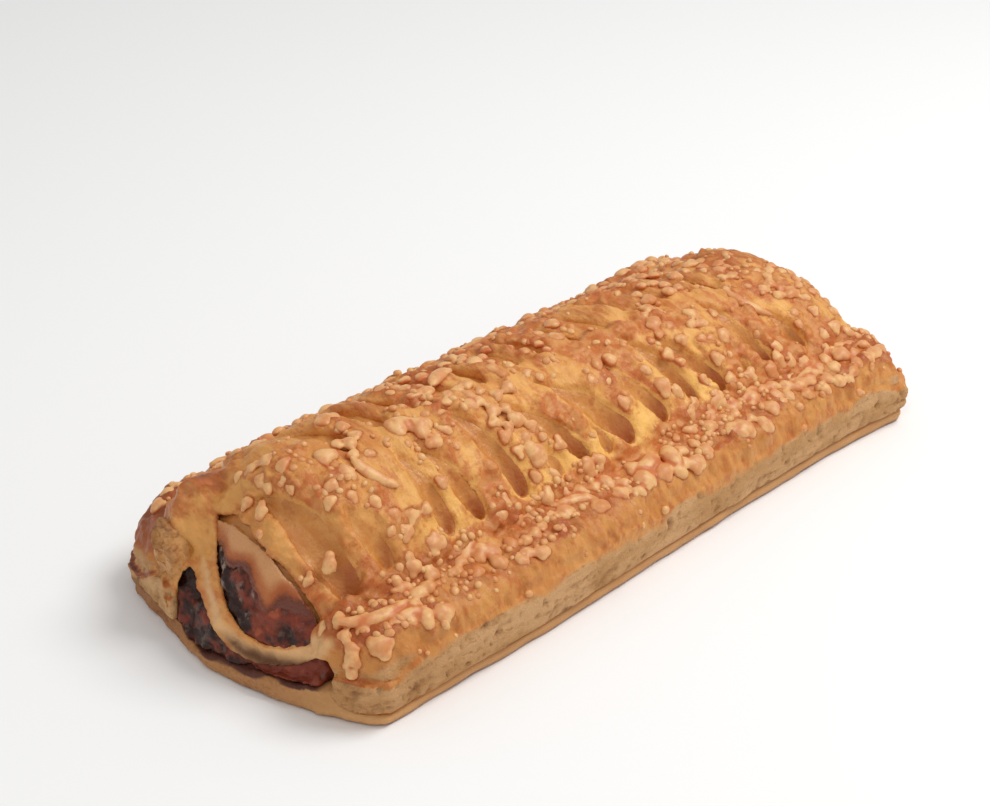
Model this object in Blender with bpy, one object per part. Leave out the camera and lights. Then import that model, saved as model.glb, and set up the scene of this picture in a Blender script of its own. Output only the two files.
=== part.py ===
"""A baked puff pastry bar: a flat base sheet, a dark savoury filling under a pale cheese layer, and a slit
top sheet that domes over them, with grated cheese baked on. The long way is X. The open end is at -X."""

import bmesh
import bpy
import numpy as np
from mathutils import Matrix, Vector

MM = 0.001  # sizes below are in millimetres, and Blender's unit is the metre
GAP = 0.3  # clear space between pieces that touch

# plan of the bar
HALF_LENGTH = 88.4
HALF_WIDTH = 36.6
NEAR_BOW = 10.8  # how far the open end bows out in the middle
BOW_POWER = 1.6
BACK_PUSH = (2.0, 14.0, 32.0)  # how far its corner on the +Y side stands out, and from where to where
FAR_BOW = 1.0
NEAR_CORNER = 2.4  # how far the corners are rounded back
FAR_CORNER = 2.5
SIDE_SWELL = (1.4, -35.0, 40.0)  # how far the sides stand out, where, and over what length
CORNER_FLARE = (2.2, 90.0, 13.0)

# height of the top sheet
FLANGE_Z = 17.0  # crimped side edges
FLANGE_RISE = 3.0
FLANGE_WIDE = 12.0
DOME_RISE = 17.4
DOME_HALF = 26.0
DOME_POWER = 2.3
DOME_SWELL = 0.13  # the dome is fuller towards the open end, as a share of its rise
DOME_HIGH_X = -70.0
DOME_SHIFT = 0.8  # how far its crest lies to the -Y side of the middle
FAR_DROP = (0.27, 40.0, 68.0)  # share by which it is lower at the far end, and from where to where
EDGE_ROLL = 3.5  # radius of the rolled-over rim
NEAR_SLOPE = 22.0  # length over which the open end comes down
CLOSED_SLOPE = 10.0
FAR_SLOPE = 13.0
SLOPE_POWER = 1.5
END_WALL = 0.66  # height of the open end's shut corners, as a share of the flange's
END_WALL_LEAN = 0.16  # how much higher they are on the -Y side

# base sheet
SEAM_Z = 3.2  # where the two sheets meet along the sides
PAN_Z = 4.6  # base under the filling
RIM_LIFT = 1.2  # swollen corners of the base at the open end

# inside
INSIDE_HALF = 25.6
CREST_SHEET = 2.4  # the top sheet is thin over the crest and thicker on the flanks
FLANK_SHEET = 4.2
CHEESE_DEEP = 4.0
FILLING_BARE = 8.5  # length of filling that the cheese layer leaves bare at the open end
INSIDE_START = (1.2, 2.6)  # how far in the filling starts across the open end, and behind its shut corners
INSIDE_END = 3.4

# slits of the near row: x at the low end, x at the high end, y at the high end, width
SLIT_LOW_Y = -23.7
NEAR_SLITS = (
    (-70.3, -73.8, -0.5, 5.6),
    (-61.2, -65.5, -15.5, 3.8),
    (-45.5, -48.0, -11.0, 4.4),
    (-36.8, -43.0, -10.5, 4.0),
    (-25.0, -33.5, -2.0, 4.8),
    (-14.6, -16.2, -20.6, 2.6),
    (-6.5, -18.5, -10.5, 4.8),
    (0.6, -2.0, -19.5, 2.8),
    (7.4, -8.0, -9.0, 4.6),
    (18.0, 8.0, -9.5, 4.6),
    (27.5, 20.0, -8.0, 4.0),
    (37.2, 25.0, -10.0, 4.4),
    (46.0, 44.8, -20.8, 2.6),
    (53.0, 46.0, -6.0, 4.6),
    (65.5, 62.0, -13.5, 4.0),
)
SLIT_PITCH = 9.4
SLIT_LEAN = 0.42  # how far a slit leans along X for each millimetre across
CREST_SLIT = (17.0, 2.2)  # length and width
FAR_SLIT = (14.5, 4.2)
SLIT_FLOOR_Z = 15.0
CREST_FLOOR_Z = 26.0
TOP_Z = 50.0  # above everything, for cutters
CUTTER_MARGIN = 3.0

# openings of the end, as outlines across the slope that faces out of it
END_CENTRE = Vector((-84.0, -8.0, 14.0))
END_FACING = Vector((-0.80, -0.35, 0.49))
END_CUT_DEEP = 16.0
WINDOW = ((-13.0, 17.8), (-11.2, 13.8), (-9.6, 9.0), (-7.6, 5.0), (-4.6, 0.4), (-1.0, -2.6), (4.2, -4.2),
          (8.8, -3.6), (13.2, -1.6), (15.6, 1.2), (14.6, 3.6), (12.0, 6.6), (8.2, 9.8), (3.0, 13.6), (-2.0, 16.2),
          (-7.0, 18.2))
UNDER_BAND = ((-16.6, 5.4), (-14.3, 3.1), (-12.6, 0.3), (-10.4, -2.6), (-7.3, -5.8), (-3.4, -8.3), (1.4, -9.4),
              (5.9, -9.1), (11.1, -7.1), (15.6, -4.0), (18.6, -3.6), (20.0, -6.0), (17.5, -20.0), (0.0, -24.0),
              (-16.0, -18.0), (-19.0, -5.0), (-18.6, 0.0))
FAR_CUT = (26.0, 5.0)  # width and height of the slim opening in the far end
FAR_CUT_DEEP = 8.0

# grated cheese baked on
CRUMB_COUNT = 72
CRUMB_SIZES = (2.3, 1.15)  # half widths, largest first
CRUMB_SINK = 0.35
CRUMB_SEED = 7
CRUMB_FREE = 12.0  # length at the open end that crumbs keep off, because of its window
SHREDS = (  # x, y, length, width, turn in degrees
    (-71.0, -29.5, 15.0, 3.2, -16.0),
    (-66.0, -33.0, 10.0, 3.0, -8.0),
    (-45.0, -27.0, 9.0, 2.6, 30.0),
    (-16.0, -29.0, 10.0, 2.8, -20.0),
    (-56.0, -13.0, 11.0, 2.8, -62.0),
    (-24.0, 2.0, 9.0, 3.4, 20.0),
    (5.0, -30.0, 8.0, 4.2, 10.0),
    (11.0, -31.0, 7.0, 4.2, 70.0),
    (58.0, -12.0, 13.0, 2.8, -64.0),
    (42.0, -27.5, 9.0, 3.4, 35.0),
    (60.0, -29.0, 10.0, 2.6, 15.0),
    (-2.0, 14.0, 10.0, 2.6, -40.0),
    (34.0, 27.0, 10.0, 3.0, 25.0),
    (-40.0, 28.0, 12.0, 3.0, -12.0),
)

CRUST = (0.62, 0.29, 0.10, 1.0)
BASE = (0.48, 0.25, 0.09, 1.0)
CHEESE = (0.55, 0.29, 0.10, 1.0)
FILLING = (0.06, 0.02, 0.014, 1.0)


def step(low, high, value):
    """0 below low and 1 above high, with a smooth rise between them."""
    share = np.clip((value - low) / (high - low), 0.0, 1.0)
    return share * share * (3.0 - 2.0 * share)


def near_edge(y):
    push, start, end = BACK_PUSH
    bow = NEAR_BOW * np.abs(y / HALF_WIDTH) ** BOW_POWER - push * step(start, end, y)
    return -HALF_LENGTH + bow + NEAR_CORNER * (np.abs(y) / HALF_WIDTH) ** 16


def far_edge(y):
    share = np.abs(y) / HALF_WIDTH
    return HALF_LENGTH - FAR_BOW * share ** 2 - FAR_CORNER * share ** 14


def side_edge(x):
    """Half width of the bar at a place along it."""
    return HALF_WIDTH + sum(much * np.exp(-((x - at) / long) ** 2) for much, at, long in (SIDE_SWELL, CORNER_FLARE))


def rise(distance, slope):
    """How high the sheet stands, as a share, at a distance from an end over which it slopes down."""
    share = np.clip(distance / slope, 0.0, 1.0)
    return (1.0 - (1.0 - share) ** SLOPE_POWER) ** (1.0 / SLOPE_POWER)


def closed(y):
    """1 where the end is a shut wall of dough, 0 across its open middle."""
    return np.maximum(step(8.0, 18.0, y), step(20.0, 28.0, -y))


def crust_height(x, y):
    side = side_edge(x) - np.abs(y)
    near = np.maximum(x - near_edge(y), 0.0)
    far = np.maximum(far_edge(y) - x, 0.0)
    across = FLANGE_Z + FLANGE_RISE * np.clip(side / FLANGE_WIDE, 0.0, 1.0)
    swell = 1.0 + DOME_SWELL * np.cos(np.pi * (x - DOME_HIGH_X) / 130.0)
    drop, start, end = FAR_DROP
    dome = np.clip(1.0 - (np.abs(y + DOME_SHIFT) / DOME_HALF) ** DOME_POWER, 0.0, 1.0)
    across = across + DOME_RISE * swell * (1.0 - drop * step(start, end, x)) * dome
    shut = closed(y)
    wall = END_WALL + END_WALL_LEAN * np.clip(-y / HALF_WIDTH, -0.7, 0.75)
    down = (1.0 - shut) * rise(near, NEAR_SLOPE) + shut * (wall + (1.0 - wall) * rise(near, CLOSED_SLOPE))
    down = down * (0.5 + 0.5 * rise(far, FAR_SLOPE) + 0.3 * shut * (1.0 - rise(far, FAR_SLOPE)))
    inset = np.minimum(np.minimum(side, far), np.where(shut > 0.5, near, EDGE_ROLL))
    inset = np.clip(inset / EDGE_ROLL, 0.0, 1.0)
    return across * down - EDGE_ROLL * (1.0 - np.sqrt(1.0 - (1.0 - inset) ** 2))


def base_height(x, y):
    near = x - near_edge(y)
    inside = step(HALF_WIDTH - 2.0, HALF_WIDTH - 10.0, np.abs(y))
    swell = RIM_LIFT * np.minimum(((y + 8.0) / 18.0) ** 2, 1.0) * inside
    return SEAM_Z + (PAN_Z - SEAM_Z) * inside + swell * step(14.0, 2.0, near)


def inside_height(x, y):
    """Top of what fills the bar: the top sheet's height less the sheet."""
    sheet = CREST_SHEET + (FLANK_SHEET - CREST_SHEET) * step(4.0, 20.0, np.abs(y))
    floor = base_height(x, y)
    room = np.maximum(crust_height(x, y) - sheet - floor, 0.0)
    return floor + room * np.clip(1.0 - (np.abs(y) / INSIDE_HALF) ** 8, 0.0, 1.0) ** 0.6


def plan_grid(columns, rows):
    """x and y of a grid that fills the bar's plan, closer together at the edges."""
    share = np.linspace(0.0, 1.0, columns)
    share = 0.55 * share + 0.45 * (1.0 - np.cos(np.pi * share)) / 2.0
    across = np.sin(np.linspace(-1.0, 1.0, rows) * np.pi / 2.0)
    near = near_edge(across * HALF_WIDTH)
    far = far_edge(across * HALF_WIDTH)
    x = near + (far - near) * share[:, None]
    return x, across * side_edge(x)


def mesh_object(name, verts, faces):
    mesh = bpy.data.meshes.new(name)
    mesh.from_pydata([tuple(float(c) * MM for c in v) for v in verts], [], faces)
    whole = bmesh.new()
    whole.from_mesh(mesh)
    loose = [vert for vert in whole.verts if not vert.link_faces]
    bmesh.ops.delete(whole, geom=loose, context="VERTS")
    bmesh.ops.recalc_face_normals(whole, faces=whole.faces)
    whole.to_mesh(mesh)
    whole.free()
    obj = bpy.data.objects.new(name, mesh)
    bpy.context.scene.collection.objects.link(obj)
    return obj


def slab(name, x, y, top, bottom, rings=(), flat=False):
    """A closed solid between two height grids. Each ring is a share of the wall's height and how far it
    stands out there. A flat slab has a single face below."""
    columns, rows = x.shape
    index = np.arange(columns * rows).reshape(columns, rows)
    verts = np.concatenate([np.stack([x, y, z], axis=-1).reshape(-1, 3) for z in (top, bottom)])
    count = columns * rows
    corners = (index[:-1, :-1], index[1:, :-1], index[1:, 1:], index[:-1, 1:])
    a, b, c, d = (corner.ravel() for corner in corners)
    cells = np.concatenate([np.stack([a, b, c], axis=-1), np.stack([a, c, d], axis=-1)])
    faces = [tuple(int(n) for n in cell) for cell in cells]
    border = [*index[:-1, 0], *index[-1, :-1], *index[:0:-1, -1], *index[0, :0:-1]]
    border = [int(n) for n in border]
    if flat:
        faces.append(tuple(n + count for n in reversed(border)))
    else:
        faces += [tuple(int(n) + count for n in cell[::-1]) for cell in cells]
    ahead = verts[border[1:] + border[:1]] - verts[border[-1:] + border[:-1]]
    out = np.stack([ahead[:, 1], -ahead[:, 0]], axis=-1)
    out = out / np.maximum(np.linalg.norm(out, axis=1, keepdims=True), 1e-9)
    levels = [[n + count for n in border]]
    extra = []
    for share, proud in rings:
        low = verts[[n + count for n in border]]
        ring = low + (verts[border] - low) * share
        ring[:, :2] += out * proud
        start = 2 * count + len(extra)
        extra.extend(ring)
        levels.append(list(range(start, start + len(border))))
    levels.append(border)
    if extra:
        verts = np.concatenate([verts, np.array(extra)])
    for lower, upper in zip(levels, levels[1:]):
        for k in range(len(border)):
            n = (k + 1) % len(border)
            faces.append((lower[k], lower[n], upper[n], upper[k]))
    return mesh_object(name, verts, faces)


def prism(name, first, last):
    """A closed prism between two rings of points."""
    count = len(first)
    faces = [tuple(range(count)), tuple(range(count, 2 * count))]
    faces += [(k, (k + 1) % count, (k + 1) % count + count, k + count) for k in range(count)]
    return mesh_object(name, [*first, *last], faces)


def slit_outline(low, high, width, steps=4):
    """A drop-shaped slit, narrow at its high end and blunt at its low end."""
    start = np.array(high, float)
    along = np.array(low, float) - start
    aside = np.array([1.0, 0.0])
    shares = np.linspace(0.0, 1.0, steps + 1)[1:-1]
    halves = 0.5 * width * np.sin(np.pi * shares ** 1.6) ** 0.6
    right = [start + along * s + aside * h for s, h in zip(shares, halves)]
    left = [start + along * s - aside * h for s, h in zip(shares, halves)]
    return [start, *right, start + along, *reversed(left)]


def slits():
    """Every slit of the top sheet, as its low end, its high end and its width."""
    found = [((low, SLIT_LOW_Y), (high, y), width) for low, high, y, width in NEAR_SLITS]
    draw = np.random.default_rng(CRUMB_SEED + 1)
    crest_long, crest_wide = CREST_SLIT
    far_long, far_wide = FAR_SLIT
    for k in range(13):
        middle = -57.0 + SLIT_PITCH * k + draw.uniform(-1.0, 1.0)
        half = 0.5 * crest_long * draw.uniform(0.75, 1.0)
        y = 4.5 + draw.uniform(-1.0, 1.0)
        low = (middle + SLIT_LEAN * half, y - half)
        high = (middle - SLIT_LEAN * half, y + half)
        found.append((low, high, crest_wide * draw.uniform(0.8, 1.2)))
    for k in range(16):
        x = -72.0 + SLIT_PITCH * k + draw.uniform(-1.0, 1.0)
        reach = far_long * (draw.uniform(0.75, 1.1) if k % 4 != 2 else 0.3)
        low = (x, -SLIT_LOW_Y)
        high = (x + SLIT_LEAN * reach, -SLIT_LOW_Y - reach)
        found.append((low, high, far_wide * draw.uniform(0.75, 1.15)))
    return found


def end_prism(name, outline):
    """A cutter through the open end, along the way that its slope faces."""
    facing = END_FACING.normalized()
    across = Vector((0.0, 0.0, 1.0)).cross(facing).normalized()
    up = facing.cross(across)
    ring = [END_CENTRE + across * u + up * v for u, v in outline]
    return prism(name, [p - facing * END_CUT_DEEP for p in ring], [p + facing * END_CUT_DEEP for p in ring])


def far_prism():
    """A cutter for the slim opening over the base at the far end."""
    wide, high = FAR_CUT
    floor = PAN_Z - 0.5
    arch = np.linspace(np.pi, 0.0, 9)
    outline = [(0.5 * wide * np.cos(a), floor + high * np.sin(a)) for a in arch]
    start, end = HALF_LENGTH - FAR_CUT_DEEP, HALF_LENGTH + FAR_CUT_DEEP
    return prism("far_opening", [(start, y, z) for y, z in outline], [(end, y, z) for y, z in outline])


def combine(target, others, operation, solver="EXACT"):
    """Joins the others to the target or cuts them from it, and removes them."""
    helpers = bpy.data.collections.new(target.name + "_helpers")
    for other in others:
        bpy.context.scene.collection.objects.unlink(other)
        helpers.objects.link(other)
    bpy.context.scene.collection.children.link(helpers)
    boolean = target.modifiers.new(operation, "BOOLEAN")
    boolean.operation = operation
    boolean.solver = solver
    boolean.operand_type = "COLLECTION"
    boolean.collection = helpers
    apply_modifiers(target)
    for other in list(helpers.objects):
        bpy.data.objects.remove(other, do_unlink=True)
    bpy.data.collections.remove(helpers)


def apply_modifiers(target):
    graph = bpy.context.evaluated_depsgraph_get()
    mesh = bpy.data.meshes.new_from_object(target.evaluated_get(graph))
    target.modifiers.clear()
    target.data = mesh


def near_slit(x, y, apart):
    """Whether a point lies in a slit or closer to it than a distance."""
    point = np.array([x, y])
    for low, high, width in slits():
        start, end = np.array(high), np.array(low)
        along = end - start
        share = np.clip(np.dot(point - start, along) / np.dot(along, along), 0.0, 1.0)
        if np.linalg.norm(point - start - along * share) < 0.5 * width + apart:
            return True
    return False


def cheese_share(x, y):
    """How much grated cheese lies at a place: most along the flanges, less up the dome, little at the ends."""
    flange = np.exp(-((abs(y) - 28.5) / 4.0) ** 2)
    return (0.22 + 0.78 * flange) * step(-86.0, -70.0, x) * (0.6 if y > 0 else 1.0)


def crumb_places():
    """x, y, half width, stretch and turn of each crumb, largest first."""
    draw = np.random.default_rng(CRUMB_SEED)
    biggest, smallest = CRUMB_SIZES
    places = []
    while len(places) < CRUMB_COUNT:
        size = biggest + (smallest - biggest) * (len(places) / CRUMB_COUNT) ** 0.5
        x = draw.uniform(-84.0, 85.0)
        y = draw.uniform(-34.0, 34.0)
        chance, stretch, turn = draw.uniform(0.0, 1.0, 3)
        if chance > cheese_share(x, y) or near_slit(x, y, 0.75 * size) or x < near_edge(y) + CRUMB_FREE:
            continue
        if any(np.hypot(x - p[0], y - p[1]) < 0.95 * (size + p[2]) for p in places):
            continue
        places.append((x, y, size, 1.0 + 0.7 * stretch, 360.0 * turn))
    return places


def on_crust(x, y, sink):
    """A frame on the top sheet at a place: its point, and its axes with Z along the slope's normal."""
    reach = 0.8
    height = crust_height(x, y)
    slope_x = (crust_height(x + reach, y) - crust_height(x - reach, y)) / (2.0 * reach)
    slope_y = (crust_height(x, y + reach) - crust_height(x, y - reach)) / (2.0 * reach)
    normal = Vector((-slope_x, -slope_y, 1.0)).normalized()
    turn = Vector((0.0, 0.0, 1.0)).rotation_difference(normal).to_matrix().to_4x4()
    return Matrix.Translation(Vector((x, y, float(height))) + normal * sink) @ turn


def lump(name, frame, size, turn, draw):
    """An uneven 20-sided lump of melted cheese."""
    ball = bmesh.new()
    bmesh.ops.create_icosphere(ball, subdivisions=1, radius=1.0)
    spin = Matrix.Rotation(np.radians(turn), 4, "Z")
    for vert in ball.verts:
        vert.co = Vector(c * s * draw.uniform(0.88, 1.08) for c, s in zip(vert.co, size))
    ball.transform(Matrix.Scale(MM, 4) @ frame @ spin)
    mesh = bpy.data.meshes.new(name)
    ball.to_mesh(mesh)
    ball.free()
    obj = bpy.data.objects.new(name, mesh)
    bpy.context.scene.collection.objects.link(obj)
    return obj


def baked_cheese():
    """Crumbs and shreds that lie on the top sheet, part sunk in it."""
    draw = np.random.default_rng(CRUMB_SEED + 2)
    made = []
    for k, (x, y, size, stretch, turn) in enumerate(crumb_places()):
        frame = on_crust(x, y, size * (0.8 - CRUMB_SINK))
        made.append(lump(f"crumb_{k}", frame, (size * stretch, size, size * 0.85), turn, draw))
    for k, (x, y, length, width, turn) in enumerate(SHREDS):
        frame = on_crust(x, y, 0.15 * width)
        made.append(lump(f"shred_{k}", frame, (0.5 * length, 0.5 * width, 0.5 * width), turn, draw))
    return made


def base_grid():
    return plan_grid(26, 15)


def make_base():
    x, y = base_grid()
    rings = ((0.18, 0.0), (0.62, 0.7))
    return slab("base_pastry", x, y, base_height(x, y), 0.0 * x, rings, flat=True)


def inside_grid():
    """Grid of the room between the sheets. Its columns cross the bar at even shares of its length, and one of
    them is where the cheese layer ends."""
    y = INSIDE_HALF * 0.985 * np.sin(np.linspace(-1.0, 1.0, 11) * np.pi / 2.0)
    bare_start, shut_start = INSIDE_START
    near = near_edge(y) + bare_start + (shut_start - bare_start) * closed(y)
    far = far_edge(y) - INSIDE_END
    bare = FILLING_BARE / (2.0 * HALF_LENGTH)
    share = np.concatenate([[0.0, 0.4 * bare, 0.8 * bare], np.linspace(bare, 1.0, 21)])
    x = near + (far - near) * share[:, None]
    return x, np.broadcast_to(y, x.shape)


def filling_height(x, y):
    """Top of the filling: bare at the open end, and under the cheese layer past it."""
    covered = step(FILLING_BARE + 2.0, FILLING_BARE + 2.6, x - near_edge(y))
    full = inside_height(x, y)
    floor = base_height(x, y)
    share = 0.55 * (full - floor)
    return full - 0.6 - covered * np.minimum(CHEESE_DEEP, share)


def make_filling(x, y):
    floor = base_height(x, y) + 2.0 * GAP
    top = np.maximum(filling_height(x, y) - GAP, floor + 0.4)
    return slab("sauce_filling", x, y, top, floor)


def make_cheese_layer(x, y):
    first = 3
    x, y = x[first:], y[first:]
    floor = base_height(x, y) + 3.0 * GAP + 0.4
    bottom = np.maximum(filling_height(x, y), floor)
    top = np.maximum(inside_height(x, y) - GAP, bottom + 0.5)
    return slab("cheese_layer", x, y, top, bottom)


def seam_cutter():
    """The base sheet raised by the gap and widened past the bar's edge, for cutting the top sheet from below."""
    x, y = base_grid()
    top = np.pad(base_height(x, y) + GAP, 1, mode="edge")
    x = np.pad(x, 1, mode="edge")
    y = np.pad(y, 1, mode="edge")
    x[0] -= CUTTER_MARGIN
    x[-1] += CUTTER_MARGIN
    y[:, 0] -= CUTTER_MARGIN
    y[:, -1] += CUTTER_MARGIN
    return slab("seam", x, y, top, 0.0 * x - CUTTER_MARGIN, flat=True)


def make_lattice(x_in, y_in):
    x, y = plan_grid(42, 21)
    floor = 0.5 * SEAM_Z
    top = np.maximum(crust_height(x, y), base_height(x, y) + GAP + 1.2)
    rings = ((0.3, 0.8), (0.7, 0.7))
    lattice = slab("lattice_top", x, y, top, floor + 0.0 * x, rings, flat=True)
    room = slab("room", x_in, y_in, np.maximum(inside_height(x_in, y_in), base_height(x_in, y_in) + 1.6), 0.0 * x_in)
    cutters = [room, seam_cutter()]
    for k, (low, high, width) in enumerate(slits()):
        floor = CREST_FLOOR_Z if abs(low[1]) < CREST_SLIT[0] else SLIT_FLOOR_Z
        ring = slit_outline(low, high, width)
        cutters.append(prism(f"slit_{k}", [(x, y, floor) for x, y in ring], [(x, y, TOP_Z) for x, y in ring]))
    cutters.append(end_prism("window", WINDOW))
    cutters.append(end_prism("under_band", UNDER_BAND))
    cutters.append(far_prism())
    combine(lattice, cutters, "DIFFERENCE")
    combine(lattice, baked_cheese(), "UNION")
    return lattice


def material(name, colour, roughness):
    made = bpy.data.materials.new(name)
    made.use_nodes = True
    shader = made.node_tree.nodes["Principled BSDF"]
    shader.inputs["Base Color"].default_value = colour
    shader.inputs["Roughness"].default_value = roughness
    shader.inputs["Metallic"].default_value = 0.0
    made.diffuse_color = colour
    return made


def main():
    for obj in list(bpy.data.objects):
        bpy.data.objects.remove(obj, do_unlink=True)
    x, y = inside_grid()
    pieces = (
        (make_base(), material("base_pastry", BASE, 0.7)),
        (make_filling(x, y), material("filling", FILLING, 0.3)),
        (make_cheese_layer(x, y), material("cheese_layer", CHEESE, 0.45)),
        (make_lattice(x, y), material("top_pastry", CRUST, 0.5)),
    )
    for obj, finish in pieces:
        obj.data.materials.clear()
        obj.data.materials.append(finish)


main()
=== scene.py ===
import bpy
import numpy as np
import openvdb
from mathutils import Matrix, Vector


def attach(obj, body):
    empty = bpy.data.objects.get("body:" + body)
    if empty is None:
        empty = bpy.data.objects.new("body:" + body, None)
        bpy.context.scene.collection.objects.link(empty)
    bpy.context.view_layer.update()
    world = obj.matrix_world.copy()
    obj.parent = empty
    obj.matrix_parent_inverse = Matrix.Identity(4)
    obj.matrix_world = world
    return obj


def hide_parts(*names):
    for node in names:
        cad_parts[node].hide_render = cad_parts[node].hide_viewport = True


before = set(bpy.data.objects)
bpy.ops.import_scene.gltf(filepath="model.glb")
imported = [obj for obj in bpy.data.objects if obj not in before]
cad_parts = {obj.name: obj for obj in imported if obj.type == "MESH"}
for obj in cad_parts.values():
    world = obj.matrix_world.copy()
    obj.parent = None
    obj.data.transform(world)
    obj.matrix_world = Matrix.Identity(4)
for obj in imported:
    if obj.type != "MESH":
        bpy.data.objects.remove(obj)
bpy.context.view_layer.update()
mm = 0.001  # sizes are in millimetres, but in metres in the studio and in a look's "surface"

# the bar's own rule, the same sizes as its solids
# backPush, farDrop: how much, where it begins, where it ends; sideSwells, rimDip: how much, where, how wide
bar = {
    "halfLength": 88.4, "halfWidth": 36.6, "nearBow": 10.8, "bowPower": 1.6, "backPush": (2.0, 14.0, 32.0),
    "farBow": 1.0, "nearCorner": (2.4, 16), "farCorner": (2.5, 14),
    "sideSwells": ((1.4, -35.0, 40.0), (2.2, 90.0, 13.0)),
    "flangeHigh": 17.0, "flangeRise": 3.0, "flangeWide": 12.0,
    "domeRise": 17.4, "domeHalf": 26.0, "domePower": 2.3, "domeSwell": 0.13, "swellFrom": -70.0,
    "swellLong": 130.0, "domeShift": 0.8, "farDrop": (0.27, 40.0, 68.0), "endWall": 0.66, "endWallLean": 0.16,
    "shutBehind": (8.0, 18.0), "shutInFront": (20.0, 28.0),
    "edgeRoll": 3.5, "nearSlope": 22.0, "closedSlope": 10.0, "farSlope": 13.0, "slopePower": 1.5,
    "seamHigh": 3.2, "panHigh": 4.6, "rimLift": 1.2, "rimCurve": (8.0, 18.0), "rimLow": 0.4,
    "rimDip": (2.2, 5.5, 6.5), "rimLong": (14.0, 2.0),
    "insideHalf": 25.6, "crestSheet": 2.4, "flankSheet": 4.2, "cheeseDeep": 4.0,
    "insideStart": (1.2, 2.6), "insideEnd": 3.4, "gap": 0.3,
}

slitRule = {
    "lowY": -23.7,
    # x at the low end, x and y at the high end, width
    "nearRow": (
        (-70.3, -73.8, -0.5, 5.6), (-61.2, -65.5, -15.5, 3.8), (-45.5, -48.0, -11.0, 4.4),
        (-36.8, -43.0, -10.5, 4.0), (-25.0, -33.5, -2.0, 4.8), (-14.6, -16.2, -20.6, 2.6),
        (-6.5, -18.5, -10.5, 4.8), (0.6, -2.0, -19.5, 2.8), (7.4, -8.0, -9.0, 4.6), (18.0, 8.0, -9.5, 4.6),
        (27.5, 20.0, -8.0, 4.0), (37.2, 25.0, -10.0, 4.4), (46.0, 44.8, -20.8, 2.6), (53.0, 46.0, -6.0, 4.6),
        (65.5, 62.0, -13.5, 4.0),
    ),
    # the rows on the crest and the far side: spacing, slant and unevenness
    "pitch": 9.4, "lean": 0.42, "astray": 1.0,
    # slits in the row, where it starts in x, length, width
    "crest": (13, -57.0, 17.0, 2.2), "crestY": 4.5,
    "far": (16, -72.0, 14.5, 4.2), "shortened": 0.3,  # every fourth slit of the far row
    "floorHigh": 15.0, "crestFloorHigh": 26.0,
}

# the open end, with its outlines seen along the way it faces
openEnd = {
    "centre": (-84.0, -8.0, 14.0), "facing": (-0.80, -0.35, 0.49), "deep": 16.0,
    "window": ((-13.0, 17.8), (-11.2, 13.8), (-9.6, 9.0), (-7.6, 5.0), (-4.6, 0.4), (-1.0, -2.6), (4.2, -4.2),
               (8.8, -3.6), (13.2, -1.6), (15.6, 1.2), (14.6, 3.6), (12.0, 6.6), (8.2, 9.8), (3.0, 13.6),
               (-2.0, 16.2), (-7.0, 18.2)),
    "underBand": ((-16.6, 5.4), (-14.3, 3.1), (-12.6, 0.3), (-10.4, -2.6), (-7.3, -5.8), (-3.4, -8.3),
                  (1.4, -9.4), (5.9, -9.1), (11.1, -7.1), (15.6, -4.0), (18.6, -3.6), (20.0, -6.0),
                  (17.5, -20.0), (0.0, -24.0), (-16.0, -18.0), (-19.0, -5.0), (-18.6, 0.0)),
    "farCut": (26.0, 5.0, 8.0),  # width, height and depth of the opening at the far end
}

# the grated cheese that the solids have too
crumbRule = {
    "count": 72, "sizes": (2.3, 1.15), "seed": 7, "free": 12.0, "area": ((-84.0, 85.0), (-34.0, 34.0)),
    # x, y, length, width, turn in degrees
    "shreds": (
        (-71.0, -29.5, 15.0, 3.2, -16.0), (-66.0, -33.0, 10.0, 3.0, -8.0), (-45.0, -27.0, 9.0, 2.6, 30.0),
        (-16.0, -29.0, 10.0, 2.8, -20.0), (-56.0, -13.0, 11.0, 2.8, -62.0), (-24.0, 2.0, 9.0, 3.4, 20.0),
        (5.0, -30.0, 8.0, 4.2, 10.0), (11.0, -31.0, 7.0, 4.2, 70.0), (58.0, -12.0, 13.0, 2.8, -64.0),
        (42.0, -27.5, 9.0, 3.4, 35.0), (60.0, -29.0, 10.0, 2.6, 15.0), (-2.0, 14.0, 10.0, 2.6, -40.0),
        (34.0, 27.0, 10.0, 3.0, 25.0), (-40.0, 28.0, 12.0, 3.0, -12.0),
    ),
}


def ease(low, high, value):
    share = np.clip((value - low) / (high - low), 0.0, 1.0)
    return share * share * (3.0 - 2.0 * share)


def softMax(a, b, blend):
    share = np.clip(0.5 + 0.5 * (a - b) / blend, 0.0, 1.0)
    return b + (a - b) * share + blend * share * (1.0 - share)


def softMin(a, b, blend):
    return -softMax(-a, -b, blend)


def bumpNoise(x, y, z, seed):
    # smooth random values from -1 to 1, one lattice cell to the unit
    lattice = 32  # cells after which it repeats
    table = np.random.default_rng(seed).uniform(-1.0, 1.0, (lattice,) * 3).astype(np.float32)
    cells, parts = [], []
    for value in (x, y, z):
        whole = np.floor(value)
        part = (value - whole).astype(np.float32)
        cells.append(whole.astype(np.int64))
        parts.append(part * part * (3.0 - 2.0 * part))
    total = 0.0
    for corner in np.ndindex(2, 2, 2):
        sides = [part if step else 1.0 - part for part, step in zip(parts, corner)]
        places = tuple((cell + step) % lattice for cell, step in zip(cells, corner))
        total = total + sides[0] * sides[1] * sides[2] * table[places]
    return total


def bumpLayers(x, y, z, size, seed, layers=3):
    total, share, whole = 0.0, 1.0, 0.0
    for layer in range(layers):
        scale = 2.0 ** layer / size
        shiftX, shiftZ = 7.3 * layer, 3.1 * layer
        total = total + share * bumpNoise(x * scale + shiftX, y * scale, z * scale + shiftZ, seed + layer)
        whole += share
        share *= 0.5
    return total / whole


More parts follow.
